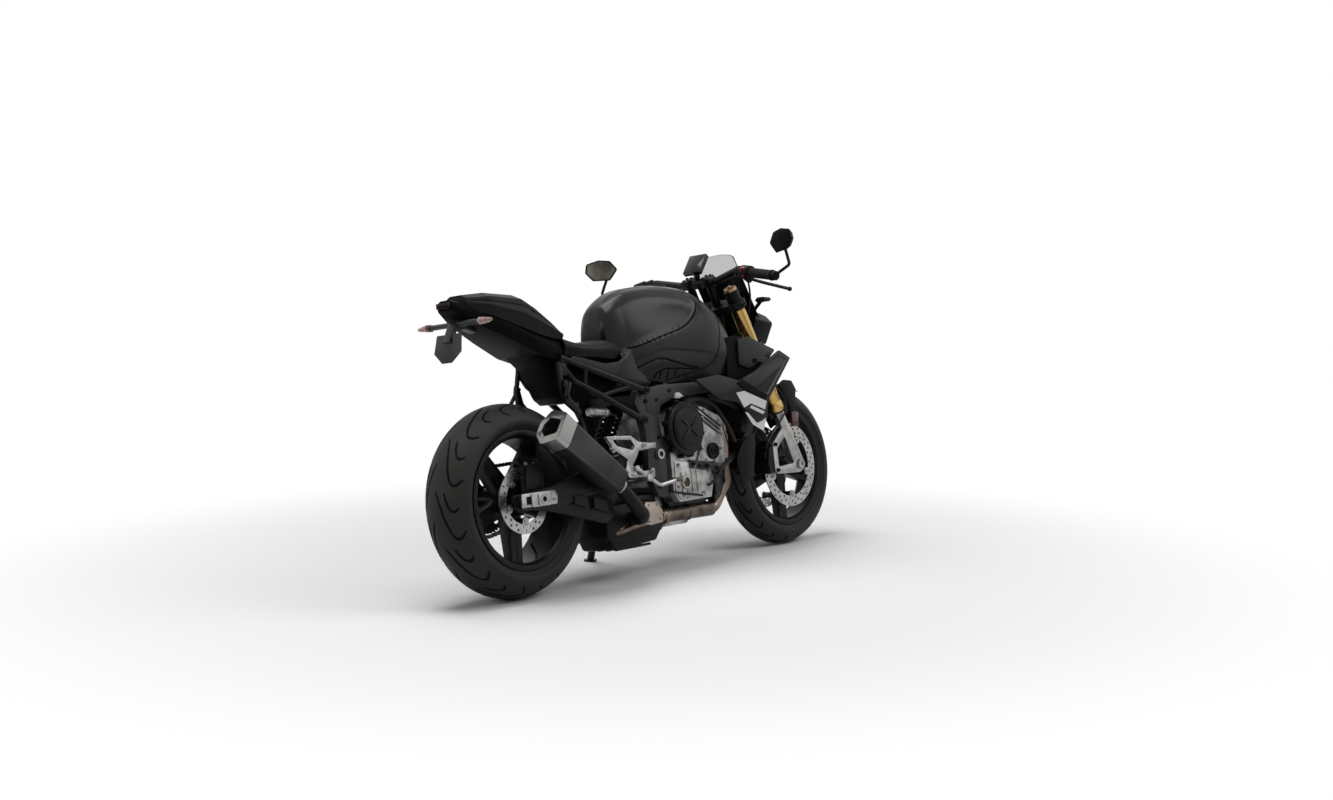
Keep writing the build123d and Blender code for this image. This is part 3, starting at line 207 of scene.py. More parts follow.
# shared tools, in millimetres until a piece is parked
def softEdges(bm, angle=32):
    for f in bm.faces:
        f.smooth = True
    for e in bm.edges:
        e.smooth = len(e.link_faces) == 2 and e.calc_face_angle(0) < math.radians(angle)


def newObject(name, data):
    obj = bpy.data.objects.new(name, data)
    bpy.context.scene.collection.objects.link(obj)
    return obj


def finish(bm, name, mat, body, replaced=(), angle=32):
    softEdges(bm, angle)
    mesh = bpy.data.meshes.new(name)
    bm.to_mesh(mesh)
    bm.free()
    for one in mat if isinstance(mat, (list, tuple)) else [mat]:
        mesh.materials.append(one)
    obj = newObject(name, mesh)
    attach(obj, body)
    if replaced:
        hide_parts(*replaced)
    return obj


def nodeCopy(node):
    bm = bmesh.new()
    bm.from_mesh(frame["nodes"][node].data)
    bmesh.ops.remove_doubles(bm, verts=bm.verts, dist=1e-5)
    bmesh.ops.dissolve_limit(bm, angle_limit=math.radians(1), verts=bm.verts, edges=bm.edges)
    return bm


def bevel(bm, edges, width, segments, clamp=True):
    bmesh.ops.bevel(
        bm,
        geom=edges,
        offset=width,
        segments=segments,
        profile=0.5,
        affect="EDGES",
        material=-1,
        clamp_overlap=clamp,
    )


def roundEdges(bm, width, angle=35, segments=2):
    least = math.radians(angle)
    sharp = [e for e in bm.edges if len(e.link_faces) == 2 and e.calc_face_angle(0) > least]
    bevel(bm, sharp, width, segments)


def wholeOf(bm):
    return bm.verts[:] + bm.edges[:] + bm.faces[:]


def cutAcross(bm, at, way):
    bmesh.ops.bisect_plane(bm, geom=wholeOf(bm), plane_co=at, plane_no=way)


def mended(bm):
    bmesh.ops.recalc_face_normals(bm, faces=bm.faces)
    return bm


def parked(bm, where=park):
    bmesh.ops.transform(bm, matrix=where, verts=bm.verts)
    return bm


def piece(bm, name, mat, slot, body="chassis", where=park, replaced=(), angle=32):
    return finish(parked(mended(bm), where), name, mat, body, replaced, angle)


def pair(bm, *rest, **more):  # the same on the left and the right
    bmesh.ops.mirror(bm, geom=wholeOf(bm), axis="Y", merge_dist=-1)
    return piece(bm, *rest, **more)


def cylinder(bm, start, end, radius, segments=24, tip=None):
    start, end = Vector(start), Vector(end)
    run = end - start
    at = Matrix.Translation((start + end) / 2) @ run.to_track_quat("Z", "Y").to_matrix().to_4x4()
    made = bmesh.ops.create_cone(
        bm,
        cap_ends=True,
        segments=segments,
        radius1=radius,
        radius2=radius if tip is None else tip,
        depth=run.length,
        matrix=at,
    )
    return made["verts"]


def block(bm, low, high):
    low, high = Vector(low), Vector(high)
    at = Matrix.Translation((low + high) / 2) @ Matrix.Diagonal((*(high - low), 1))
    return bmesh.ops.create_cube(bm, size=1, matrix=at)["verts"]


def facesOf(verts):
    return list({f for v in verts for f in v.link_faces})


def edgesOf(verts):
    inside = set(verts)
    return list({e for v in verts for e in v.link_edges if all(end in inside for end in e.verts)})


def soften(bm, verts, width, segments=2):
    bevel(bm, edgesOf(verts), width, segments)


def extrude(bm, faces, way):
    grown = bmesh.ops.extrude_face_region(bm, geom=faces)["geom"]
    ends = [g for g in grown if isinstance(g, bmesh.types.BMVert)]
    bmesh.ops.translate(bm, verts=ends, vec=way)
    return ends


def prism(bm, points, low, high):
    face = bm.faces.new([bm.verts.new((x, low, z)) for x, z in points])
    start = list(face.verts)
    return start + extrude(bm, [face], (0, high - low, 0))


def sunk(bm, verts, way, *steps):
    top = max(facesOf(verts), key=lambda f: f.calc_center_median().dot(Vector(way)))
    for inset, rise in steps:
        bmesh.ops.inset_individual(bm, faces=[top], thickness=inset, depth=rise)


def hole(bm, verts, way, inset, depth):
    sunk(bm, verts, way, (inset, 0), (0.01, -depth))


def cup(bm, start, end, *shape, inset, depth):
    hole(bm, cylinder(bm, start, end, *shape), Vector(end) - Vector(start), inset, depth)


def slab(outline, low, high, width, segments=2):
    bm = bmesh.new()
    soften(bm, prism(bm, outline, low, high), width, segments)
    return bm


def ringSpots(count, radius, start=0.0):
    turns = [math.radians(start) + 2 * math.pi * i / count for i in range(count)]
    return [(radius * math.cos(a), radius * math.sin(a)) for a in turns]


def bolt(bm, at, way, radius=5.0, height=4.0, segments=12):
    at, way = Vector(at), Vector(way).normalized()
    head = cylinder(bm, at - way, at + way * height, radius, segments, radius * 0.88)
    hole(bm, head, way, radius * 0.4, height * 0.6)


def boltRow(bm, spots, face, radius, height):
    for x, z in spots:
        bolt(bm, (x, face, z), (0, math.copysign(1, face), 0), radius, height)


def bossRow(bm, spots, near, far, radius, boltRadius, segments=16):
    for x, z in spots:
        cylinder(bm, (x, near, z), (x, far, z), radius, segments, radius - 1)
        boltRow(bm, [(x, z)], far, boltRadius, 4)


def blend(rows, steps):
    first = [2 * a - b for a, b in zip(rows[0], rows[1])]
    last = [2 * a - b for a, b in zip(rows[-1], rows[-2])]
    ends = [first, *rows, last]
    line = []
    for quad in zip(ends, ends[1:], ends[2:], ends[3:]):
        for i in range(steps):
            t = i / steps
            spot = []
            for a, b, c, d in zip(*quad):
                bend = (2 * a - 5 * b + 4 * c - d) * t**2 + (3 * b - a - 3 * c + d) * t**3
                spot.append((2 * b + (c - a) * t + bend) / 2)
            line.append(spot)
    return line + [list(rows[-1])]


def tube(bm, points, radius, sides=12, steps=6):
    line = [Vector(p) for p in (blend(points, steps) if steps > 1 else points)]
    before, side = None, None
    for i, p in enumerate(line):
        way = (line[min(i + 1, len(line) - 1)] - line[max(i - 1, 0)]).normalized()
        side = way.orthogonal() if side is None else side - way * side.dot(way)
        side.normalize()
        at = frameMatrix(p, side, way.cross(side), way)
        ends = i in (0, len(line) - 1)
        ring = bmesh.ops.create_circle(bm, cap_ends=ends, segments=sides, radius=radius, matrix=at)
        edges = edgesOf(ring["verts"])
        if before:
            bmesh.ops.bridge_loops(bm, edges=before + edges)
        before = edges


def hull(stations, profile, along, around):
    rows = blend(stations, along)
    half = blend([*profile, *[(-a, r) for a, r in reversed(profile[:-1])]], around)
    bm = bmesh.new()
    before = None
    for i, (x, wide, low, top) in enumerate(rows):
        ring = [bm.verts.new((x, -wide * a, low + (top - low) * r)) for a, r in half]
        edges = [bm.edges.new(ends) for ends in zip(ring, ring[1:] + ring[:1])]
        if before:
            bmesh.ops.bridge_loops(bm, edges=before + edges)
        if i in (0, len(rows) - 1):
            bm.faces.new(ring)
        before = edges
    return mended(bm)


def surfaceLines(bm, lines):
    tree = BVHTree.FromBMesh(bm)
    spots = []
    for line in lines:
        gaps = [abs(a - b) for one, two in zip(line, line[1:]) for a, b in zip(one, two)]
        for p in blend(line, 1 + int(max(gaps))):
            spots += [tree.find_nearest(Vector((p[0], side * p[1], p[2])))[0] for side in (-1, 1)]
    kd = KDTree(len(spots))
    for i, spot in enumerate(spots):
        kd.insert(spot, i)
    kd.balance()
    return kd


def refine(bm, kd, reach, cuts):
    near = {v for v in bm.verts if kd.find(v.co)[2] < reach}
    edges = [e for e in bm.edges if e.verts[0] in near and e.verts[1] in near]
    bmesh.ops.subdivide_edges(bm, edges=edges, cuts=cuts, use_grid_fill=True)


def groove(bm, kd, width, depth, index=None):
    bm.normal_update()
    moves = []
    for v in bm.verts:
        away = kd.find(v.co)[2]
        if away < width:
            moves.append((v, v.normal * -depth * min(1.0, 1.6 * (1 - away / width))))
    for v, move in moves:
        v.co += move
    # with an index, the deeper groove faces take that material: a dark joint in seams, painted shade in vents and
    # folds
    if index is not None:
        deep = {v for v, move in moves if move.length > depth * 0.3}
        for f in bm.faces:
            if any(v in deep for v in f.verts):
                f.material_index = index


# fuel tank and its side covers in one skin, with the seams sunk in; the seam grooves are near-black as dark joint
# and painted shade, the gill, fold and slit grooves as painted shade
tank = dict(
    stations=[
        (488, 40, 806, 872), (496, 62, 782, 906), (520, 86, 742, 950), (590, 117, 688, 990),
        (684, 143, 660, 1007), (790, 160, 656, 1010), (900, 176, 662, 996), (990, 174, 670, 952),
        (1048, 160, 678, 900),
    ],
    profile=[(0.9, 0), (1, 0.3), (0.94, 0.6), (0.8, 0.82), (0.56, 0.945), (0.25, 0.995), (0, 1)],
    seam=[
        (553, 98, 787), (599, 117, 794), (687, 137, 818), (800, 152, 848), (862, 152, 887),
        (892, 142, 923), (898, 127, 950), (884, 111, 965), (813, 92, 985), (754, 63, 997),
        (690, 40, 1003), (600, 30, 995),
    ],
    edge=[
        (1000, 170, 870), (985, 171, 830), (970, 171, 798), (954, 175, 752), (918, 169, 712),
        (862, 158, 691), (780, 145, 676), (700, 132, 664),
    ],
    crest=[
        (562, 96, 735), (620, 122, 756), (677, 140, 773), (740, 151, 774), (850, 166, 760),
        (949, 174, 746),
    ],
    fold=[
        (578, 102, 714), (619, 118, 729), (676, 136, 743), (734, 145, 730), (789, 152, 713),
        (852, 158, 698),
    ],
    gill=[(647, 120, 676), (670, 129, 699), (715, 138, 706), (760, 146, 702), (856, 158, 696)],
    dent=dict(deep=5, x=705, long=120, z=900, high=52),
    flank=dict(before=690, below=786, half=108, start=610, grow=0.12, fade=14),
    knee=dict(deep=5, rear=500, fade=60, slope=22),
    crease=dict(deep=5, high=46, rear=40, front=60),
    slits=[
        [(678, 130, 694), (669, 128, 673)], [(711, 136, 698), (702, 134, 671)],
        [(747, 142, 699), (738, 140, 673)],
    ],
)
bm = hull(tank["stations"], tank["profile"], 20, 15)
dent, flank = tank["dent"], tank["flank"]
for v in bm.verts:
    if abs(v.co.y) > 20:
        along, over = (v.co.x - dent["x"]) / dent["long"], (v.co.z - dent["z"]) / dent["high"]
        v.co.y -= math.copysign(dent["deep"] * math.exp(-(along**2) - over**2), v.co.y)
    if 20 < abs(v.co.y) and v.co.x < flank["before"] and v.co.z < flank["below"]:
        want = flank["half"] + flank["grow"] * max(0, v.co.x - flank["start"])
        widen = max(0, want - abs(v.co.y)) * min(1.0, (flank["below"] - v.co.z) / flank["fade"])
        v.co.y += math.copysign(widen, v.co.y)
knee = blend([(x, z) for x, y, z in tank["seam"]], 4) + [(480, 1000), (480, 790)]


def kneeInset(co):
    inside = False
    for (ax, az), (bx, bz) in zip(knee, knee[1:] + knee[:1]):
        if (az > co.z) != (bz > co.z) and co.x < ax + (bx - ax) * (co.z - az) / (bz - az):
            inside = not inside
    if not inside or abs(co.y) < 24:
        return 0.0
    return min(math.hypot(co.x - a, co.z - b) for a, b in knee[:-2])


creaseLine = surfaceLines(bm, [tank["crest"]])
seamLine = surfaceLines(bm, [tank["seam"], tank["edge"]])
gillLine = surfaceLines(bm, [tank["gill"], tank["fold"], *tank["slits"]])
step = tank["knee"]
for v in bm.verts:
    rear = min(1.0, max(0.0, (v.co.x - step["rear"]) / step["fade"]))
    v.co.y -= math.copysign(step["deep"] * rear * min(1.0, kneeInset(v.co) / step["slope"]), v.co.y)
for kd in (creaseLine, seamLine, gillLine):
    refine(bm, kd, 11, 2)
crest, crease = blend(tank["crest"], 8), tank["crease"]
for v in bm.verts:
    if abs(v.co.y) > 70 and crest[0][0] < v.co.x < crest[-1][0]:
        a, b = next((a, b) for a, b in zip(crest, crest[1:]) if v.co.x <= b[0])
        below = a[2] + (b[2] - a[2]) * (v.co.x - a[0]) / (b[0] - a[0]) - v.co.z
        if 0 < below < crease["high"]:
            behind, before = v.co.x - crest[0][0], crest[-1][0] - v.co.x
            ends = min(1.0, behind / crease["rear"], before / crease["front"])
            fall = min(1.0, below / 3) * (1 - below / crease["high"])
            v.co.y -= math.copysign(crease["deep"] * ends * fall, v.co.y)
calm = [v for v in bm.verts if 3 < seamLine.find(v.co)[2] < 26 and kneeInset(v.co) > 3]
for turn in range(5):
    bmesh.ops.smooth_vert(
        bm, verts=calm, factor=0.5, use_axis_x=False, use_axis_y=True, use_axis_z=False
    )
kneeVerts = {v for v in bm.verts if kneeInset(v.co) > 4}
for f in bm.faces:
    if all(v in kneeVerts for v in f.verts):
        f.material_index = 2
# the near-black in the seams is dark joint and painted shade; in the gills, fold and slits it is painted shade
groove(bm, seamLine, 2.6, 3.2, 1)
groove(bm, gillLine, 3.2, 4, 1)
piece(
    bm, "tankSkin", [paintGrey, seamAndShadeBlack, kneeGloss], "paint",
    replaced=["fuel_tank", "tank_side_panels"], angle=40,
)

# covers under the seat, back from the tank to the tail
cover = dict(
    outline=[
        (222, 762), (284, 780), (333, 762), (417, 742), (485, 744), (530, 764), (549, 782),
        (564, 750), (580, 716), (612, 692), (646, 668), (640, 652), (601, 648), (470, 690),
        (328, 729),
    ],
    face=114,
)
bm = slab(cover["outline"], cover["face"] - 12, cover["face"], 4, 3)
pair(bm, "sideCovers", paintGrey, "paint", angle=30)

tankCap = dict(at=(835, 1008.5), radius=48, bolts=7, boltRing=43.5)
bm = bmesh.new()
x, z = tankCap["at"]
radius = tankCap["radius"]
cup(bm, (x, 0, z - 6), (x, 0, z + 3), radius, 48, radius - 2, inset=9, depth=2)
cylinder(bm, (x, 0, z), (x, 0, z + 3.5), 30, 40, 28)
soften(bm, block(bm, (x - 26, -9, z + 2), (x + 22, 9, z + 7)), 2)
for dx, dy in ringSpots(tankCap["bolts"], tankCap["boltRing"]):
    bolt(bm, (x + dx, dy, z + 3), (0, 0, 1), 3.2, 2)
piece(bm, "tankCap", satinBlack, "black_metal")
print("tank done")

# seats, foam under a grained cover
rider = dict(
    stations=[
        (231, 112, 777, 846), (262, 124, 773, 832), (300, 134, 770, 821), (380, 136, 764, 818),
        (440, 127, 757, 826), (486, 112, 757, 818), (520, 98, 764, 800), (534, 88, 772, 790),
    ],
    profile=[(0.9, 0), (1, 0.4), (0.96, 0.68), (0.8, 0.9), (0.45, 0.985), (0, 1)],
    piping=[(236, 108, 832), (300, 128, 806), (380, 130, 804), (440, 120, 806), (500, 100, 796)],
)
bm = hull(rider["stations"], rider["profile"], 10, 8)
line = surfaceLines(bm, [rider["piping"]])
refine(bm, line, 9, 2)
groove(bm, line, 3, 2.2)
finish(parked(bm), "riderSeat", seatSkin, "chassis", ["rider_seat"], 50)

pillion = dict(
    round=0.007,
    seam=[
        (-120, 50, 975), (-60, 80, 970), (60, 106, 950), (112, 112, 925), (180, 112, 885),
        (220, 106, 860),
    ],
)
bm = nodeCopy("pillion_seat")
roundEdges(bm, pillion["round"], 25, 4)
parked(bm, upright)
bmesh.ops.triangulate(bm, faces=[f for f in bm.faces if len(f.verts) > 4])
for longest, cuts in ((12, 3), (8, 1)):
    edges = [e for e in bm.edges if e.calc_length() > longest]
    bmesh.ops.subdivide_edges(bm, edges=edges, cuts=cuts, use_grid_fill=True)
line = surfaceLines(bm, [pillion["seam"]])
refine(bm, line, 9, 2)
groove(bm, line, 3, 2.2)
finish(parked(bm), "pillionSeat", seatSkin, "chassis", ["pillion_seat"], 40)
print("seats done")

# crowned tyres with grooved tread, the groove faces painted near-black as painted shade
tread = dict(steps=480, crown=96, pitches=11, wide=3.9, deep=4.2, sweep=0.9, outer=0.9)


def treadDepth(turn, across, rolling, half):
    share = abs(across) / tread["outer"]
    if share > 1:
        return 0.0
    pitch = 2 * math.pi * rolling / tread["pitches"]
    long = -turn / (2 * math.pi) * tread["pitches"] + (0.5 if across > 0 else 0.0)
    away = 99.0
    for start, end, shift in ((0.04, 1.0, 0.0), (0.42, 0.92, 0.52)):
        if start < share < end:
            bent = long - tread["sweep"] * (1 - share) ** 2 - shift - 0.12 * math.sin(share * 7)
            lean = (2 * tread["sweep"] * (1 - share) - 0.84 * math.cos(share * 7)) * pitch / half
            near = abs(bent - math.floor(bent + 0.5)) * pitch / math.hypot(1, lean)
            away = min(away, near + 3 * max(0.0, 1 - (share - start) * 12, 1 - (end - share) * 12))
    return tread["deep"] * max(0.0, 1 - (away / tread["wide"]) ** 2)


def buildTyre(name, node, hub, radius, width, drop, bead):
    crown = ((width / 2) ** 2 + drop**2) / (2 * drop)
    edge = math.asin(width / 2 / crown)
    shoulder = radius - drop
    outside = []
    for i in range(tread["crown"] + 1):
        a = edge * (2 * i / tread["crown"] - 1)
        outside.append((radius - crown * (1 - math.cos(a)), crown * math.sin(a)))
    mid = (bead + width / 2) / 2
    wall = [
        (shoulder - 7, width / 2 + 0.8), (shoulder - 16, width / 2 - 0.5),
        (shoulder - 17, width / 2 - 2),
    ]
    wall += [(240, mid + 3), (235, bead + 7), (232, bead + 5.5), (231, bead + 1)]
    wall += [(229.4, bead), (216.4, bead), (216.4, bead - 11)]
    inside = [(shoulder - 6, width / 2 - 10), (radius - 16, width / 4), (radius - 12, 0)]
    half = wall + inside
    ring = outside + half + [(r, -y) for r, y in reversed(half[:-1])]
    bm = bmesh.new()
    verts = [bm.verts.new((r, y, 0)) for r, y in ring]
    edges = [bm.edges.new(ends) for ends in zip(verts, verts[1:] + verts[:1])]
    bmesh.ops.spin(
        bm,
        geom=verts + edges,
        cent=(0, 0, 0),
        axis=(0, 1, 0),
        angle=2 * math.pi,
        steps=tread["steps"],
        use_merge=True,
    )
    shadedGroove = set()
    for v in bm.verts:
        r = math.hypot(v.co.x, v.co.z)
        if r > shoulder + 3:
            turn = math.atan2(v.co.z, v.co.x)
            deep = treadDepth(turn, v.co.y / (width / 2), radius - 10, width / 2)
            v.co.x -= deep * v.co.x / r
            v.co.z -= deep * v.co.z / r
            if deep > 0.9:
                shadedGroove.add(v)
    # faces in the deeper grooves take the near-black: painted shade in the tread
    for f in bm.faces:
        f.material_index = 1 if sum(v in shadedGroove for v in f.verts) > 1 else 0
    piece(bm, name, [tyreRubber, seamAndShadeBlack], "tyre", bodyOf[node], hub, [node])


buildTyre("rearTyre", "rear_tyre", rearAxle, machine["rearRadius"], width=190, drop=58, bead=75.8)
buildTyre(
    "frontTyre", "front_tyre", frontAxle, machine["frontRadius"], width=120, drop=42, bead=44.1
)
print("tyres done")

# drilled brake discs
frontDisc = dict(
    outer=160, inner=120, thick=4.5, at=66, ear=112, rows=(128, 140, 151), perRow=22, hole=4.6
)
rearDisc = dict(outer=110, inner=78, thick=5, at=71, ear=70, rows=(87, 100), perRow=18, hole=4.6)


def buildDisc(look):
    bm = bmesh.new()
    edges = []

    def loop(radius, segments, x=0.0, z=0.0):
        turn = Matrix.Translation((x, 0, z)) @ Matrix.Rotation(math.pi / 2, 4, "X")
        made = bmesh.ops.create_circle(
            bm, cap_ends=False, segments=segments, radius=radius, matrix=turn
        )
        edges.extend(edgesOf(made["verts"]))

    loop(look["outer"], 120)
    loop(look["inner"], 90)
    for row, radius in enumerate(look["rows"]):
        for x, z in ringSpots(look["perRow"], radius, 360 * row * 0.37 / look["perRow"]):
            loop(look["hole"], 8, x, z)
    bmesh.ops.triangle_fill(bm, use_beauty=True, edges=edges, normal=(0, 1, 0))
    extrude(bm, bm.faces[:], (0, look["thick"], 0))
    bmesh.ops.translate(bm, verts=bm.verts, vec=(0, look["at"], 0))
    outside = look["at"] + look["thick"]
    for x, z in ringSpots(5, look["ear"], 270):
        cylinder(bm, (x, look["at"], z), (x, outside, z), 14, 20)
        bolt(bm, (x, outside, z), (0, 1, 0), 8, 3)
    return bm


bm = buildDisc(frontDisc)
pair(bm, "frontDiscs", groundSteel, "disc", "front_wheel", frontAxle, ["front_discs"])
bm = buildDisc(rearDisc)
bmesh.ops.scale(bm, vec=(1, -1, 1), verts=bm.verts)  # only on the right
piece(bm, "rearDisc", groundSteel, "disc", "rear_wheel", rearAxle, ["rear_disc"])

# valve stems in the rims
valves = dict(frontValve=(frontAxle, "front_wheel", 200), rearValve=(rearAxle, "rear_wheel", 300))
for name, (hub, body, turn) in valves.items():
    bm = bmesh.new()
    a = math.radians(turn)
    way = Vector((math.cos(a), 0, math.sin(a)))
    cylinder(bm, way * 204, way * 186, 4, 14)
    cylinder(bm, way * 188, way * 172, 5, 14, 4.2)
    piece(bm, name, blackSteel, "steel", body, hub)
print("wheels done")

# roller chain, plate by plate
chain = dict(
    pitch=15.875, rearTeeth=45, frontTeeth=16, frontX=705, frontZ=412, line=108, pin=2.6, roller=4.6
)
rearRound = chain["pitch"] / math.sin(math.pi / chain["rearTeeth"]) / 2
frontRound = chain["pitch"] / math.sin(math.pi / chain["frontTeeth"]) / 2
rise = chain["frontZ"] - machine["rearRadius"]
reach = math.hypot(chain["frontX"], rise)
slope = math.atan2(rise, chain["frontX"])
opening = math.acos((rearRound - frontRound) / reach)
straight = reach * math.sin(opening)
chainLength = 2 * straight + 2 * (math.pi - opening) * rearRound + 2 * opening * frontRound
linkCount = 2 * round(chainLength / chain["pitch"] / 2)


def onRun(step, a):
    radius = rearRound + (frontRound - rearRound) * step
    z = machine["rearRadius"] + rise * step
    x = chain["frontX"] * step
    return Vector((x + radius * math.cos(a), chain["line"], z + radius * math.sin(a)))


def chainPlace(along):
    along = along % chainLength
    if along < straight:
        return onRun(along / straight, slope + opening)
    along -= straight
    if along < 2 * opening * frontRound:
        return onRun(1, slope + opening - along / frontRound)
    along -= 2 * opening * frontRound
    if along < straight:
        return onRun(1 - along / straight, slope - opening)
    return onRun(0, slope - opening - (along - straight) / rearRound)


bm = bmesh.new()
for i in range(linkCount):
    a, b = [chainPlace(chainLength * step / linkCount) for step in (i, i + 1)]
    mid = (a + b) / 2
    way = (b - a).normalized()
    up = Vector((-way.z, 0, way.x))
    outline = [
        a - way * 4.6 + up * 4.4, a + up * 6.6, mid + up * 4.6, b + up * 6.6,
        b + way * 4.6 + up * 4.4,
    ]
    outline += [p + 2 * (mid - p).project(up) for p in reversed(outline)]
    for side in (-1, 1):
        near = Vector((0, side * (6.3 if i % 2 else 4.4), 0))
        face = bm.faces.new([bm.verts.new(p + near) for p in outline])
        extrude(bm, [face], (0, side * 1.6, 0))
    for wide, radius in ((8.4, chain["pin"]), (4, chain["roller"])):
        cylinder(bm, a - Vector((0, wide, 0)), a + Vector((0, wide, 0)), radius, 8)
piece(bm, "chainLinks", chainSteel, "steel", replaced=["drive_chain"])
print("chain done:", linkCount, "links")

# brake hoses as smooth lines through the route of the source
hoses = dict(thick=3.6, clampFront=66.7, lower=486, upper=668)
front = hoses["clampFront"] + 8
half, offset = machine["forkHalf"], machine["forkOffset"]
downRoute = [
    (front, 10, hoses["lower"] + 8),
    (front, 22, hoses["lower"] - 50),
    (front, half + 4, hoses["lower"] - 150),
    (front, half + 30, 232),
    (offset - 50, half + 32, 205),
    (offset - 118, half - 4, 176),
    (offset - 136, half - 6, 130),
]
barBend = Vector((2, 196, 826))
barEnd = Vector((-58, 398, 808))
barOut = (barEnd - barBend).normalized()
controlAt = barEnd - barOut * (122 + 72)
masterLow = controlAt + Vector((34, 0, -13.3)) + barOut * 2
overRoute = [
    (front, -8, hoses["lower"] + 20),
    (front, -8, hoses["lower"] + 60),
    (front + 18, -150, hoses["upper"] - 20),
    (masterLow.x, -masterLow.y, masterLow.z),
]


def hose(name, route):
    line = bpy.data.curves.new(name, "CURVE")
    line.dimensions = "3D"
    line.bevel_depth = hoses["thick"] / 1000
    line.bevel_resolution = 4
    line.use_fill_caps = True
    spline = line.splines.new("NURBS")
    spline.points.add(len(route) - 1)
    for point, place in zip(spline.points, route):
        point.co = (*(steer @ Vector(place)), 1)
    spline.order_u = 3
    spline.use_endpoint_u = True
    spline.resolution_u = 10
    line.materials.append(gripRubber)
    obj = newObject(name, line)
    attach(obj, "steering")
    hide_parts("brake_hoses")
    return spline.calc_length()


lengths = [
    hose("leftBrakeHose", downRoute),
    hose("rightBrakeHose", [(x, -y, z) for x, y, z in downRoute]),
    hose("masterHose", overRoute),
]
bm = bmesh.new()
z = hoses["lower"]
soften(bm, block(bm, (front - 7.7, -15, z + 5), (front + 7.7, 15, z + 23)), 2)
bolt(bm, (front + 7.7, 0, z + 14), (1, 0, 0), 5, 4)
piece(bm, "hoseJoint", blackSteel, "rubber", **onFork)
print("hoses done:", [round(l, 3) for l in lengths])

# engine: bolted covers, sight glass and hoses on the right
engineRight = dict(
    face=-150,
    cover=[
        (792, 560), (850, 562), (880, 548), (948, 520), (960, 474), (950, 420), (922, 372),
        (850, 352), (800, 372), (836, 440), (838, 520),
    ],
    lower=[(676, 380), (790, 364), (872, 346), (862, 288), (828, 244), (696, 242), (668, 272)],
    coverBolts=[
        (860, 548), (940, 506), (950, 456), (936, 404), (896, 366), (846, 370), (826, 410),
        (848, 470), (846, 520),
    ],
    lowerBolts=[(690, 366), (776, 352), (856, 332), (846, 290), (816, 258), (706, 256), (682, 290)],
    crank=(886, 398),
    sight=(721, 301),
    clutch=(735, 490),
    clutchFace=-192,
)
bm = bmesh.new()
y = engineRight["face"]
soften(bm, prism(bm, engineRight["cover"], y + 1, y - 7), 3)
soften(bm, prism(bm, engineRight["lower"], y + 1, y - 5), 3)
bossRow(bm, engineRight["coverBolts"], y - 2, y - 10, 8, 5)
bossRow(bm, engineRight["lowerBolts"], y - 2, y - 8, 7.5, 4.6)
for x in (700, 728, 756, 784):
    soften(bm, prism(bm, [(x, 340), (x + 5, 340), (x + 5, 262), (x, 262)], y - 4, y - 8), 1.2)
piece(bm, "rightCovers", castSilver, "cast")

bm = bmesh.new()
x, z = engineRight["crank"]
cup(bm, (x, y - 6, z), (x, y - 16, z), 31, 48, 29, inset=7, depth=3)
boltRow(bm, [(x + dx, z + dz) for dx, dz in ringSpots(6, 26, 30)], y - 15, 3.4, 3)
cup(bm, (x, y - 8, z), (x, y - 17, z), 13, 6, inset=4, depth=5)
piece(bm, "crankCap", blackSteel, "black_metal")

x, z = engineRight["sight"]
bm = bmesh.new()
cup(bm, (x, y - 3, z), (x, y - 13, z), 24, 48, 22, inset=5, depth=5)
piece(bm, "sightRim", brightSilver, "cast")
bm = bmesh.new()
cylinder(bm, (x, y - 3, z), (x, y - 9.5, z), 17, 40, 16)
piece(bm, "sightGlass", sightAmber, "display")

bm = bmesh.new()
x, z = engineRight["clutch"]
y = engineRight["clutchFace"]
for turn, start, end in ((38, 10, 60), (142, 14, 52), (218, 10, 60), (322, 14, 52)):
    a = math.radians(turn)
    way, side = Vector((math.cos(a), math.sin(a))), Vector((-math.sin(a), math.cos(a)))
    corners = ((start, 4), (end, 4), (end, -4), (start, -4))
    rib = [Vector((x, z)) + way * far + side * wide for far, wide in corners]
    soften(bm, prism(bm, rib, y + 2, y - 4), 1.6)
cylinder(bm, (x, y + 20, z), (x, y + 14, z), 92, 72, 90)
for dx, dz in ringSpots(12, 97, 15):
    cylinder(bm, (x + dx, -150, z + dz), (x + dx, -168, z + dz), 10, 18, 9)
    bolt(bm, (x + dx, -168, z + dz), (0, -1, 0), 5.4, 5)
piece(bm, "clutchRibs", satinBlack, "black_metal")

engineHoses = dict(
    coolant=[
        (756, -158, 566), (800, -160, 586), (866, -158, 582), (930, -152, 556), (968, -150, 516),
        (1004, -150, 470), (1040, -140, 420),
    ],
    lower=[(930, -140, 330), (968, -136, 344), (1010, -120, 352), (1066, -110, 370)],
    upper=[(900, -146, 592), (960, -150, 578), (1020, -152, 560), (1078, -140, 540)],
    clips=[
        ((760, -158, 570), (772, -159, 576)), ((1062, -111, 368), (1072, -109, 372)),
        ((1068, -142, 543), (1080, -140, 540)),
    ],
)
bm = bmesh.new()
tube(bm, engineHoses["coolant"], 8, 14, 8)
tube(bm, engineHoses["lower"], 12, 14, 8)
tube(bm, engineHoses["upper"], 11, 14, 8)
for p, q in engineHoses["clips"]:
    cylinder(bm, p, q, 14, 20)
piece(bm, "coolantHoses", gripRubber, "black_metal")

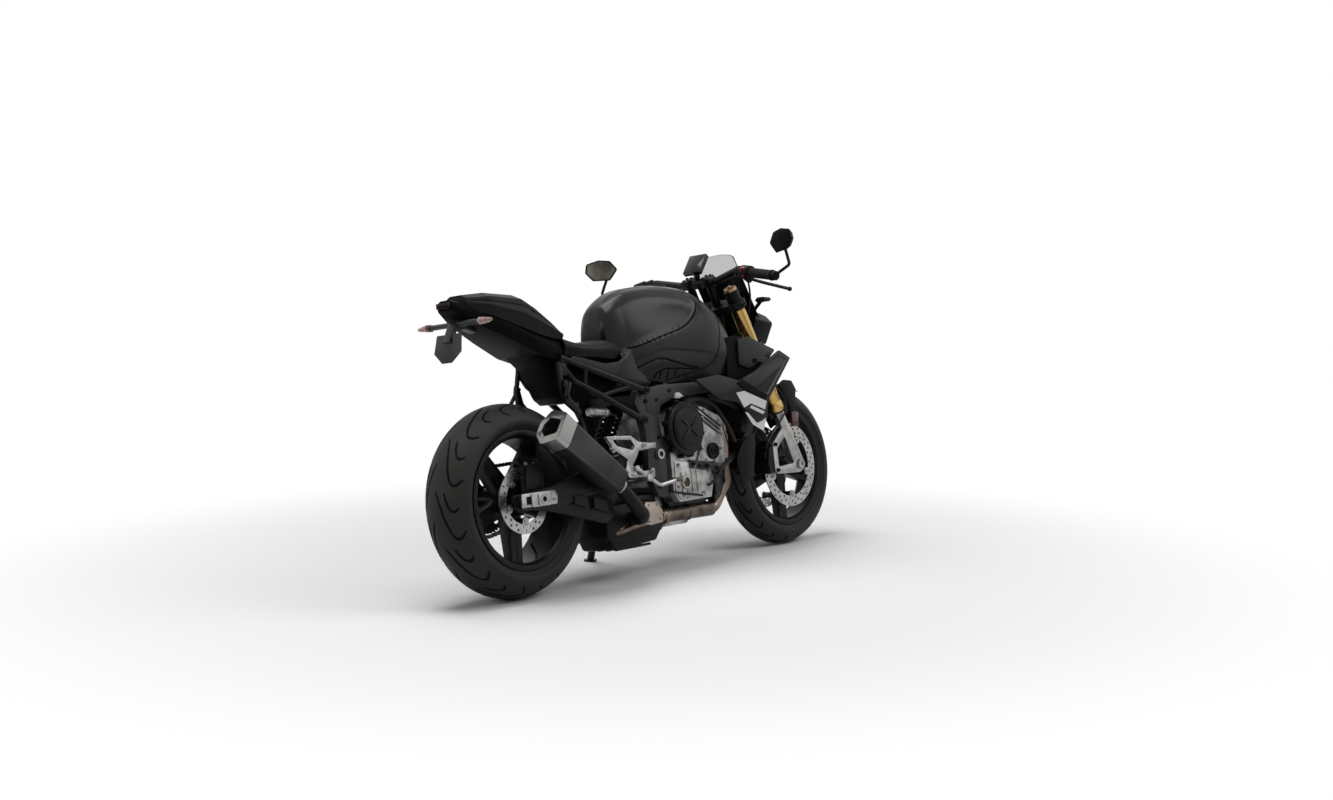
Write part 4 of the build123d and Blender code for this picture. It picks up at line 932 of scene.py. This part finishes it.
engineLow = dict(
    gapShade=[(754, 378), (890, 360), (934, 347), (925, 294), (877, 328), (811, 339), (749, 350)],
    sump=[(690, 250), (706, 206), (906, 210), (936, 264)],
    shade=[(928, 330), (985, 330), (985, 242), (952, 220), (928, 220)],
    link=[(372, 246), (470, 236), (524, 262), (524, 330), (400, 336)],
    bosses=[(770, 362), (806, 352), (846, 348), (900, 336), (912, 308)],
    rod=[(640, -160, 276), (720, -163, 260), (801, -158, 247)],
    hose=[
        (1004, -140, 352), (956, -154, 342), (928, -160, 334), (887, -162, 298), (846, -156, 280),
    ],
)
# the sheet in the gap between the right covers and the shade block ahead of the sump are dark sheets put where
# there is only shade: painted shade; the sump, link and bosses are real
bm = slab(engineLow["gapShade"], -150, -159, 3)
soften(bm, prism(bm, engineLow["sump"], -88, 88), 8, 3)
soften(bm, prism(bm, engineLow["link"], -58, 58), 10, 3)
soften(bm, prism(bm, engineLow["shade"], -112, 112), 5, 2)
bossRow(bm, engineLow["bosses"], -156, -166, 9, 5, 20)
piece(bm, "engineUndersideAndShade", castDarkAndShade, "cast")
bm = bmesh.new()
tube(bm, engineLow["rod"], 4, 12, 6)
tube(bm, engineLow["hose"], 6, 12, 8)
piece(bm, "engineLines", gripRubber, "black_metal")
cooler = dict(low=(922, -120, 236), high=(938, 120, 462), rows=30, pitch=6.8, fin=2.4)
bm = bmesh.new()
soften(bm, block(bm, cooler["low"], cooler["high"]), 4)
for i in range(cooler["rows"]):
    z = cooler["low"][2] + 12 + i * cooler["pitch"]
    block(bm, (937, -108, z), (942, 108, z + cooler["fin"]))
piece(bm, "oilCooler", blackSteel, "black_metal")
reservoir = dict(front=(447, -70, 572), rear=(354, -70, 583), radius=15)
bm = bmesh.new()
soften(bm, cylinder(bm, reservoir["rear"], reservoir["front"], reservoir["radius"], 36), 3)
front, rear = Vector(reservoir["front"]), Vector(reservoir["rear"])
for share in (0.16, 0.82):
    ends = rear.lerp(front, share), rear.lerp(front, share + 0.07)
    soften(bm, cylinder(bm, *ends, reservoir["radius"] + 2, 36), 1)
tube(bm, [tuple(front), (480, -62, 566), (520, -40, 560), (548, -12, 566)], 5, 12, 6)
piece(bm, "shockReservoir", castSilver, "cast")

frameBits = dict(
    pivot=(602, 412),
    tab=[(713, 600), (715, 614), (726, 619), (738, 618), (758, 604), (735, 598)],
    cheek=[
        (566, 642), (639, 652), (837, 650), (862, 613), (771, 604), (682, 598), (640, 588),
        (600, 548), (560, 560),
    ],
    hanger=[(510, 450), (538, 358), (446, 351), (350, 449)],
    outerBolts=[(548, 637), (524, 536)],
    bolts=[(560, 600), (616, 600), (690, 628), (590, 300), (612, 470)],
)
bm = bmesh.new()
x, z = frameBits["pivot"]
cup(bm, (x, -150, z), (x, -162, z), 19, 40, 17.5, inset=7.5, depth=9)
piece(bm, "pivotRing", brightSilver, "silver")
bm = slab(frameBits["cheek"], 140, 151, 4, 3)
pair(bm, "frameCheeks", frameGrey, "frame", angle=25)
bm = bmesh.new()
tab = prism(bm, frameBits["tab"], -150, -156)
hole(bm, tab, (0, -1, 0), 6, 4)
piece(bm, "cableTab", decalSilver, "silver")
bm = bmesh.new()
bossRow(bm, frameBits["hanger"], 162, 171, 12, 7, 28)
pair(bm, "hangerBolts", brightSilver, "silver")
bm = bmesh.new()
boltRow(bm, frameBits["outerBolts"], 174, 8, 6)
boltRow(bm, frameBits["bolts"], 148, 8, 6)
pair(bm, "frameBolts", blackSteel, "steel")
print("engine done")

# silencer with a bright end cap and clamp
can = dict(front=(312, -200, 340), rear=(26, -206, 548), cap=58, seam=2.5, round=16, mouth=12)
canFront, canRear = Vector(can["front"]), Vector(can["rear"])
canWay = (canRear - canFront).normalized()


def alongCan(bm, least, sharp):
    found = []
    for e in bm.edges:
        run = e.verts[1].co - e.verts[0].co
        lined = run.length > least and abs(run.normalized().dot(canWay)) > 0.9
        if lined and e.is_manifold and sharp(e):
            found.append(e)
    return found


bm = parked(nodeCopy("silencer"), upright)
bevel(bm, alongCan(bm, 150, lambda e: e.calc_face_angle(0) > 0.2), can["round"], 5)
bevel(bm, alongCan(bm, 12, lambda e: e.calc_face_angle_signed(0) < -0.4), can["mouth"], 5)
roundEdges(bm, 2.5, 35, 3)
for step in (can["cap"], can["cap"] + can["seam"]):
    cutAcross(bm, canRear - canWay * step, canWay)
for f in bm.faces:
    back = (canRear - f.calc_center_median()).dot(canWay)
    f.material_index = 1 if back < can["cap"] else 2 if back < can["cap"] + can["seam"] else 0
    if back > (canRear - canFront).length + 2:
        f.material_index = 3
canLooks = [canDark, canBright, seamAndShadeBlack, blackSteel]
finish(parked(bm), "silencerShell", canLooks, "chassis", ["silencer"], 25)
bm = bmesh.new()
start = canFront + canWay * 1
band = cylinder(bm, start, start - canWay * 12, 30, 40)
bevel(bm, edgesOf(band), 2, 2, clamp=False)
cylinder(bm, start - canWay * 20, start - canWay * 28, 26.5, 40)
piece(bm, "silencerClamp", brightSilver, "silver")

shield = dict(
    outline=[(500, 184), (543, 252), (605, 250), (628, 212), (624, 174), (560, 170)],
    face=-114,
    bolts=[(556, 240), (600, 238), (614, 186), (524, 188)],
    pipe=[(350, -92, 152), (400, -102, 164), (480, -105, 178), (560, -104, 184), (640, -98, 190)],
    belly=[(346, 152), (366, 110), (380, 104), (588, 116), (622, 152)],
)
bm = slab(shield["outline"], shield["face"] + 1, shield["face"] - 5, 2)
boltRow(bm, shield["bolts"], shield["face"] - 5, 4, 3)
piece(bm, "heatShield", shieldBronze, "exhaust")
bm = bmesh.new()
tube(bm, shield["pipe"], 15, 20, 8)
piece(bm, "boxPipe", heatBronze, "exhaust")
bm = slab(shield["belly"], -112, 40, 9, 3)
for y in (-92, -52, -12):
    soften(bm, block(bm, (392, y - 6, 101), (572, y + 6, 110)), 3)
piece(bm, "boxBelly", blackSteel, "exhaust")
bm = bmesh.new()
for x in (650, 780):
    soften(bm, cylinder(bm, (x, 88, 191), (x + 14, 88, 191), 29.5, 36), 1.5)
ports = dict(
    deck=(840, 500), lean=32, ahead=97, up=92, wide=(36.96, 102.08), pipe=(0.85, 0, -0.527)
)
lean = math.radians(ports["lean"])
for wide in ports["wide"]:
    port = Vector((ports["deck"][0], wide, ports["deck"][1]))
    port += Vector((math.cos(lean), 0, -math.sin(lean))) * ports["ahead"]
    port += Vector((math.sin(lean), 0, math.cos(lean))) * ports["up"]
    way = Vector(ports["pipe"])
    cylinder(bm, port + way * 1, port + way * 9, 28, 6)
pair(bm, "headerClamps", heatBronze, "exhaust")
print("exhaust done")

# shrouds: raised wing, intake and silver graphics
shroud = dict(
    face=-204,
    wing=[(1034, 644), (1120, 666), (1274, 722), (1322, 702), (1180, 576)],
    intake=[(1004, 632), (1034, 640), (1176, 574), (1164, 559), (1047, 601)],
    panels=[
        [(998, 596), (1046, 600), (1172, 555), (1158, 524), (1078, 552), (1036, 540)],
        [(1080, 545), (1156, 516), (1141, 508), (1068, 537)],
        [(1038, 524), (1075, 476), (1136, 446), (1160, 494), (1131, 484), (1100, 478), (1057, 518)],
    ],
)
bm = bmesh.new()
y = shroud["face"]
wing = prism(bm, shroud["wing"], y + 1, y - 3)
sunk(bm, wing, (0, -1, 0), (16, 7))
pair(bm, "shroudWings", paintGrey, "paint", angle=20)
bm = bmesh.new()
slot = prism(bm, shroud["intake"], y + 1, y - 2.5)
sunk(bm, slot, (0, -1, 0), (4, 0), (2, -2.2))
pair(bm, "shroudIntakes", seamAndShadeBlack, "plastic")
bm = bmesh.new()
for panel in shroud["panels"]:
    prism(bm, panel, y + 0.5, y - 0.7)
pair(bm, "shroudGraphics", decalSilver, "silver")

innerPanel = dict(
    outline=[
        (1000, 640), (1012, 800), (1070, 806), (1150, 790), (1232, 752), (1210, 700), (1180, 640),
        (1060, 606),
    ],
    face=171,
)
bm = slab(innerPanel["outline"], innerPanel["face"] - 5, innerPanel["face"], 1.5)
pair(bm, "shroudLiners", seamAndShadeBlack, "plastic")

lowerPanel = dict(
    outline=[
        (1030, 352), (1060, 396), (1096, 432), (1150, 440), (1146, 380), (1122, 292), (1050, 242),
    ],
    face=150,
)
bm = slab(lowerPanel["outline"], lowerPanel["face"] - 8, lowerPanel["face"], 3, 2)
pair(bm, "lowerPanels", plasticBlack, "plastic", angle=25)

# radiator fins across the front of the core
fins = dict(rows=46, pitch=5.1, thick=1.6, half=160, step=16, bow=26, bowAt=168)
bm = bmesh.new()
for i in range(fins["rows"]):
    z = 8 + i * fins["pitch"]
    stops = range(-fins["half"], fins["half"] + 1, fins["step"])
    path = [(0.4 - fins["bow"] * (y / fins["bowAt"]) ** 2, y) for y in stops]
    for p, q in zip(path, path[1:]):
        low, high = [[(*end, z + lift) for end in (p, q)] for lift in (0, fins["thick"])]
        bm.faces.new([bm.verts.new(spot) for spot in low + high[::-1]])
bmesh.ops.remove_doubles(bm, verts=bm.verts, dist=0.01)
bmesh.ops.solidify(bm, geom=bm.faces[:], thickness=fins["thick"])
coreAhead, coreUp = Vector((0.985, 0, -0.174)), Vector((0.174, 0, 0.985))
core = frameMatrix(Vector((1112, 0, 444)), coreAhead, Vector((0, 1, 0)), coreUp)
piece(bm, "radiatorFins", blackSteel, "black_metal", where=park @ core)
print("shrouds done")

# fork: collars, seals and caps
fork = dict(low=240, top=742)
bm = bmesh.new()
at = (machine["forkOffset"], machine["forkHalf"])
low, top = fork["low"], fork["top"]
soften(bm, cylinder(bm, (*at, low - 4), (*at, low + 24), 30, 48), 2.5)
cylinder(bm, (*at, low + 24), (*at, low + 34), 29.6, 48, 27.2)
pair(bm, "forkCollars", forkGold, "gold", **onFork)
bm = bmesh.new()
cylinder(bm, (*at, low - 12), (*at, low - 3), 26, 48, 29)
pair(bm, "forkSeals", gripRubber, "rubber", **onFork)
bm = bmesh.new()
cup(bm, (*at, top - 2), (*at, top + 9), 25, 48, 23, inset=5, depth=3)
cylinder(bm, (*at, top), (*at, top + 13), 12, 6)
cylinder(bm, (*at, top + 13), (*at, top + 18), 5, 20)
pair(bm, "forkCaps", capBronze, "gold", **onFork)
bm = bmesh.new()
for z in (hoses["lower"] + 15, hoses["upper"] + 15):
    for dx in (-8, 8):
        bolt(bm, (at[0] - 18 + dx, at[1] + 36, z), (0, 1, 0), 5, 5)
cylinder(bm, (0, 0, 698), (0, 0, 708), 19, 6)
pair(bm, "clampBolts", blackSteel, "steel", **onFork)

# brake calipers: piston covers and bolts
caliper = dict(pistons=[(-126, 80), (-146, 122)], bolts=[(-98, 140), (-136, 50)])
bm = bmesh.new()
for x, z in caliper["pistons"]:
    x += at[0]
    cup(bm, (x, 106, z), (x, 111, z), 19, 32, 17.5, inset=4, depth=1.6)
boltRow(bm, [(at[0] + x, z) for x, z in caliper["bolts"]], 122, 8, 7)
pair(bm, "caliperBolts", blackSteel, "black_metal", **onFork)
guard = dict(
    stay=[
        (1402, 610), (1440, 628), (1486, 622), (1508, 588), (1496, 540), (1484, 496), (1458, 496),
        (1450, 530), (1424, 572),
    ],
    reflector=[(1456, 446), (1496, 444), (1502, 500), (1460, 502)],
    face=96,
)
bm = slab(guard["stay"], guard["face"] - 14, guard["face"], 4, 3)
pair(bm, "guardStays", plasticBlack, "plastic", body="steering")
bm = slab(guard["reflector"], guard["face"] - 6, guard["face"] + 4, 3)
pair(bm, "guardReflectors", reflectorRed, "lamp", body="steering")
bm = bmesh.new()
cup(bm, (1450, -124, 300), (1450, -131, 300), 19, 36, 17, inset=8, depth=6)
cup(bm, (1450, 124, 300), (1450, 131, 300), 18, 6, inset=8, depth=6)
piece(bm, "frontAxleNuts", brightSilver, "silver", body="steering")
print("fork done")

# rear axle block on its slotted plate
adjuster = dict(
    plate=[(-88, 300), (-84, 344), (66, 344), (80, 324), (72, 298)], block=19,
    bolts=[(44, 330), (62, 314)],
)
bm = slab(adjuster["plate"], -151.5, -155, 1.2)
size = adjuster["block"]
soften(bm, block(bm, (-size, -168, 320 - size), (size, -158, 320 + size)), 3)
cup(bm, (0, -167, 320), (0, -172, 320), 15, 40, 14, inset=5, depth=12)
boltRow(bm, adjuster["bolts"], -155, 5, 4)
pair(bm, "axleBlocks", brightSilver, "silver")
# near-black sheet in the plate slot and disc down the axle bore: painted shade in the openings
bm = bmesh.new()
soften(bm, prism(bm, [(-66, 308), (-66, 334), (-26, 334), (-26, 308)], -154, -156), 0.8)
cylinder(bm, (0, -167, 320), (0, -168.8, 320), 9.4, 32)
pair(bm, "axleSlots", seamAndShadeBlack, "black_metal")
bm = bmesh.new()
boltRow(bm, [(18, 428), (46, 414), (-4, 436)], -102, 7, 6)
cup(bm, (34, -101, 424), (34, -108, 424), 15, 30, 13, inset=4, depth=2)
piece(bm, "rearCaliperBolts", groundSteel, "steel")

web = dict(
    outline=[
        (-26, 292), (54, 273), (188, 239), (306, 204), (350, 222), (362, 330), (200, 352),
        (20, 304),
    ],
    pocket=[(150, 322), (222, 312), (214, 262), (142, 284)],
    slim=[(240, 306), (318, 290), (312, 234), (236, 258)],
)
bm = slab(web["outline"], -126, -145, 6, 3)
for outline in (web["pocket"], web["slim"]):
    rim = prism(bm, outline, -144, -148)
    sunk(bm, rim, (0, -1, 0), (7, 0), (3, -9))
piece(bm, "swingarmWeb", satinBlack, "black_metal")

# shock absorber with a wound spring
shock = dict(low=(455, 0, 416), high=(572, 0, 604), turns=6.5, coil=31, wire=5.5, perTurn=16)
low, high = Vector(shock["low"]), Vector(shock["high"])
way = (high - low).normalized()
side = way.orthogonal().normalized()
coil = []
for i in range(int(shock["turns"] * shock["perTurn"]) + 1):
    a = 2 * math.pi * i / shock["perTurn"]
    share = 0.26 + 0.56 * i / (shock["turns"] * shock["perTurn"])
    out = side * math.cos(a) + way.cross(side) * math.sin(a)
    coil.append(tuple(low.lerp(high, share) + out * shock["coil"]))
bm = bmesh.new()
tube(bm, coil, shock["wire"], 10, 1)
for share in (0.22, 0.82):
    cylinder(bm, low.lerp(high, share), low.lerp(high, share + 0.035), 38, 36, 36)
cylinder(bm, low + way * 12, low.lerp(high, 0.24), 24, 30)
cylinder(bm, low.lerp(high, 0.24), low.lerp(high, 0.88), 15, 30)
cylinder(bm, low.lerp(high, 0.84), high - way * 8, 22, 30)
piece(bm, "rearShock", plasticBlack, "black_metal", replaced=["rear_shock"])
print("rear end done")

# handlebar fittings
grip = dict(length=122, radius=17, rings=15, pitch=7.6)
bm = bmesh.new()
for i in range(grip["rings"]):
    spot = barEnd - barOut * (grip["length"] - 2 - i * grip["pitch"])
    soften(bm, cylinder(bm, spot, spot + barOut * 4.4, grip["radius"] + 1.1, 28), 1)
for share in (0, grip["length"] - 1):
    spot = barEnd - barOut * (share + 3)
    cylinder(bm, spot, spot - barOut * 4, grip["radius"] + 3, 32)
pair(bm, "gripRings", gripRubber, "rubber", **onFork)

levers = dict(reach=(0.55, 0, -0.83))
reachWay = Vector(levers["reach"]).normalized()
leverTip = controlAt + reachWay * 92 + barOut * 206
bm = bmesh.new()
bmesh.ops.create_uvsphere(
    bm, u_segments=16, v_segments=10, radius=8.5, matrix=Matrix.Translation(leverTip)
)
pair(bm, "leverEnds", satinBlack, "black_metal", **onFork)

housing = barEnd - barOut * (grip["length"] + 27)
bm = bmesh.new()
top = housing + Vector((-14, 0, 18))
soften(bm, block(bm, top - Vector((7, 9, 5)), top + Vector((7, 9, 8))), 2)
low = housing + Vector((-25, 0, -4))
cylinder(bm, low, low + Vector((-5, 0, 0)), 6, 18)
bmesh.ops.scale(bm, vec=(1, -1, 1), verts=bm.verts)
piece(bm, "stopSwitch", switchRed, "plastic", **onFork)
bm = bmesh.new()
for dy, dz in ((-10, 6), (8, 8), (-2, -8)):
    spot = housing + Vector((-23, dy, dz))
    soften(bm, block(bm, spot - Vector((4, 5, 4)), spot + Vector((2, 5, 4))), 1.4)
piece(bm, "leftButtons", gripRubber, "plastic", **onFork)

bm = bmesh.new()
for y in (-46, 46):
    soften(bm, block(bm, (-12, y - 20, 782), (32, y + 20, 818)), 4)
    for dx in (-1, 21):
        bolt(bm, (dx, y + 10, 818), (0, 0, 1), 5, 4)
        bolt(bm, (dx, y - 10, 818), (0, 0, 1), 5, 4)
piece(bm, "barClamps", satinBlack, "black_metal", **onFork)

# mirrors, display and lamp faces
mirror = dict(half=448, height=1120, turn=18, glass=0.88)
endX = (steerFrame @ barEnd).x
turn = math.radians(mirror["turn"])
across = Vector((-math.sin(turn), math.cos(turn), 0))
ahead = Vector((math.cos(turn), math.sin(turn), 0))
at = Vector((endX + 14, mirror["half"] - 12, mirror["height"]))
points = [(-70, -2), (-40, 34), (8, 42), (62, 32), (70, -2), (40, -36), (-34, -42)]
bm = bmesh.new()
rim = [(across * a + Vector((0, 0, b))) * mirror["glass"] for a, b in points]
face = bm.faces.new([bm.verts.new(at + spot + ahead * 0.5) for spot in rim])
extrude(bm, [face], ahead * -1.6)
pair(bm, "mirrorGlass", mirrorGlass, "display", body="steering")

display = dict(half=(36, 38))
barMid = steerFrame @ Vector((10, 0, 796))
lift = Vector((-0.78, 0, 0.62)).normalized()
shelf = frameMatrix(
    barMid + Vector((-8, 0, 70)), Vector((0, 1, 0)), lift.cross(Vector((0, 1, 0))), lift
)
bm = bmesh.new()
wide, long = display["half"]
soften(bm, block(bm, (-wide, -long, 8), (wide, long, 10)), 1.2)
piece(bm, "displayGlass", blackGlass, "display", body="steering", where=park @ shelf)

lamp = dict(x=1412, z=834, half=40)
bm = bmesh.new()
x, z = lamp["x"], lamp["z"]
for y in (-lamp["half"], lamp["half"]):
    cup(bm, (x - 4, y, z), (x + 4, y, z), 28, 40, 25, inset=4, depth=3)
    spot = Matrix.Translation((x - 8, y, z))
    bmesh.ops.create_uvsphere(bm, u_segments=24, v_segments=12, radius=17, matrix=spot)
piece(bm, "lampLenses", lensClear, "display", body="steering")
print("bar done")

# everything else keeps the form of its solid; last figure is the softened edge in millimetres
shells = dict(
    front_rim=(satinBlack, "rim", 3),
    rear_rim=(satinBlack, "rim", 3),
    rear_sprocket=(blackSteel, "steel", 1.2),
    front_sprocket=(blackSteel, "steel", 1.2),
    swingarm=(satinBlack, "black_metal", 5),
    rear_axle=(brightSilver, "silver", 1.2),
    rear_caliper=(satinBlack, "black_metal", 3),
    main_frame=(frameGrey, "frame", 4),
    rear_subframe=(satinBlack, "black_metal", 0),
    crankcase=(castSilver, "cast", 4),
    cylinder_head=(castDarkAndShade, "cast", 1.2),
    clutch_cover=(satinBlack, "black_metal", 3),
    left_engine_covers=(satinBlack, "black_metal", 3),
    radiator=(satinBlack, "black_metal", 1.2),
    exhaust_box=(blackSteel, "exhaust", 6),
    exhaust_headers=(heatBronze, "exhaust", 0),
    tail_cover=(trayBlack, "plastic", 5),
    undertray=(trayBlack, "plastic", 5),
    radiator_shrouds=(paintGrey, "paint", 2.2),
    footrests=(brightSilver, "silver", 2.2),
    fork_legs=(brightSilver, "silver", 2.8),
    front_axle=(brightSilver, "silver", 1.2),
    front_calipers=(satinBlack, "black_metal", 3),
    triple_clamps=(satinBlack, "black_metal", 3),
    handlebar=(satinBlack, "black_metal", 1.2),
    grips=(gripRubber, "rubber", 1.2),
    hand_controls=(plasticBlack, "plastic", 1.2),
    levers=(satinBlack, "black_metal", 1.2),
    mirrors=(plasticBlack, "plastic", 1.2),
    headlamp=(plasticBlack, "plastic", 4),
    display=(blackGlass, "display", 1.2),
    front_mudguard=(plasticBlack, "plastic", 1.2),
    side_stand=(satinBlack, "black_metal", 1.2),
)
for node, (mat, slot, soft) in shells.items():
    bm = nodeCopy(node)
    if soft:
        roundEdges(bm, soft / 1000)
    finish(bm, node + "Shell", mat, bodyOf[node], [node])


def twoTone(name, node, where, height, low, high):
    bm = parked(nodeCopy(node), where.inverted())
    roundEdges(bm, 1.0)
    cutAcross(bm, (0, 0, height), (0, 0, 1))
    for f in bm.faces:
        f.material_index = 1 if f.calc_center_median().z > height else 0
    finish(parked(bm, where), name, [low, high], bodyOf[node], [node])


plate = dict(at=(-190, 0, 828), out=(-0.97, 0, 0.24), top=2.6, middle=0.95, bottom=0.36, waist=30)
bm = parked(nodeCopy("plate_holder"), upright)
out = Vector(plate["out"]).normalized()
down = out.cross(Vector((0, 1, 0)))
for v in bm.verts:
    away = v.co - Vector(plate["at"])
    if abs(v.co.y) > 18 and abs(away.dot(out)) < 7:
        low = away.dot(down)
        if low < 0:
            v.co.y *= plate["top"]
        else:
            v.co.y *= plate["bottom"] if low > plate["waist"] else plate["middle"]
roundEdges(bm, 0.8)
finish(parked(bm), "plateHolder", frameGrey, "chassis", ["plate_holder"])
pegs = dict(line=196, keep=0.25, tuck=34, low=640, high=750)
bm = parked(nodeCopy("pillion_footrests"), upright)
roundEdges(bm, 1.2)
for v in bm.verts:
    if v.co.x < pegs["line"]:
        v.co.x = pegs["line"] - (pegs["line"] - v.co.x) * pegs["keep"]
    if v.co.y > 0:
        share = (v.co.z - pegs["low"]) / (pegs["high"] - pegs["low"])
        v.co.x += pegs["tuck"] * min(1.0, max(0.0, share))
finish(parked(bm), "pillionPegs", satinBlack, "chassis", ["pillion_footrests"])
twoTone("forkTubes", "fork_tubes", steer, 664, forkGold, blackSteel)
twoTone("screenShell", "windscreen", park, 1036, plasticBlack, smokeScreen)
bm = nodeCopy("rear_lamps")
roundEdges(bm, 0.001, 25)
for f in bm.faces:
    f.material_index = 1 if abs((upright @ f.calc_center_median()).y) < 60 else 0
finish(bm, "rearLampLenses", [clearRose, lampRed], "chassis", ["rear_lamps"])
print("pieces dressed:", len(shells))

# floor, light and camera
studio = dict(floor=60.0, near=0.9, far=2.6, ambient=0.1)
bm = bmesh.new()
bmesh.ops.create_grid(bm, x_segments=1, y_segments=1, size=studio["floor"] / 2)
floorMesh = bpy.data.meshes.new("floor")
bm.to_mesh(floorMesh)
bm.free()
floor = newObject("floor", floorMesh)
pale = bpy.data.materials.new("paleFloor")
pale.use_nodes = True
tree = pale.node_tree
ground = tree.nodes["Principled BSDF"]
ground.inputs["Base Color"].default_value = (0.94, 0.94, 0.94, 1)
ground.inputs["Roughness"].default_value = 0.85
away = shaderNode(tree, "VectorMath")
away.operation = "LENGTH"
fade = shaderNode(tree, "MapRange", From_Min=studio["near"], From_Max=studio["far"])
fade.interpolation_type = "SMOOTHSTEP"
seen = shaderNode(tree, "Math")
seen.operation = "MULTIPLY"
mix = shaderNode(tree, "MixShader")
link(shaderNode(tree, "TexCoord"), "Object", away, 0)
link(away, "Value", fade, "Value")
link(fade, "Result", seen, 0)
link(shaderNode(tree, "LightPath"), "Is Camera Ray", seen, 1)
link(seen, "Value", mix, "Fac")
link(ground, "BSDF", mix, 1)
link(shaderNode(tree, "Emission"), "Emission", mix, 2)
link(mix, "Shader", tree.nodes["Material Output"], "Surface")
floorMesh.materials.append(pale)

world = bpy.data.worlds.new("studioWhite")
bpy.context.scene.world = world
world.use_nodes = True
tree = world.node_tree
sky = tree.nodes["Background"]
sky.inputs["Color"].default_value = (1, 1, 1, 1)
path = shaderNode(tree, "LightPath")
either, shown = shaderNode(tree, "Math"), shaderNode(tree, "Math")
either.operation = shown.operation = "MAXIMUM"
level = shaderNode(tree, "MapRange", To_Min=studio["ambient"], To_Max=1.0)
link(path, "Is Camera Ray", either, 0)
link(path, "Is Glossy Ray", either, 1)
link(either, "Value", shown, 0)
link(path, "Is Transmission Ray", shown, 1)
link(shown, "Value", level, "Value")
link(level, "Result", sky, "Strength")


def softbox(name, at, aim, size, watts):
    lamp = bpy.data.lights.new(name, "AREA")
    lamp.shape = "RECTANGLE"
    lamp.size, lamp.size_y = size
    lamp.energy = watts
    obj = newObject(name, lamp)
    obj.location = at
    obj.rotation_euler = (Vector(aim) - Vector(at)).to_track_quat("-Z", "Y").to_euler()


softbox("keyLight", (1.9, -2.9, 3.7), (0, 0, 0.3), (3.0, 2.4), 70)
softbox("topLight", (-0.6, 0.4, 4.2), (0, 0, 0.3), (3.0, 2.4), 125)
softbox("rearLight", (-4.2, 1.0, 1.8), (0, 0, 0.5), (1.6, 1.6), 20)

view = dict(fromHub=(-4.109, -4.177, 0.845), turn=40.38, tip=-5.02, focal=1800, width=1333)
camera = bpy.data.cameras.new("photoCamera")
camera.sensor_width = 36
camera.lens = view["focal"] / view["width"] * camera.sensor_width
cameraObject = newObject("photoCamera", camera)
cameraObject.location = rearHub + Vector(view["fromHub"])
cameraObject.rotation_euler = (math.radians(90 + view["tip"]), 0, math.radians(view["turn"] - 90))
bpy.context.scene.camera = cameraObject
bpy.context.scene.view_settings.view_transform = "Standard"
print("studio ready")
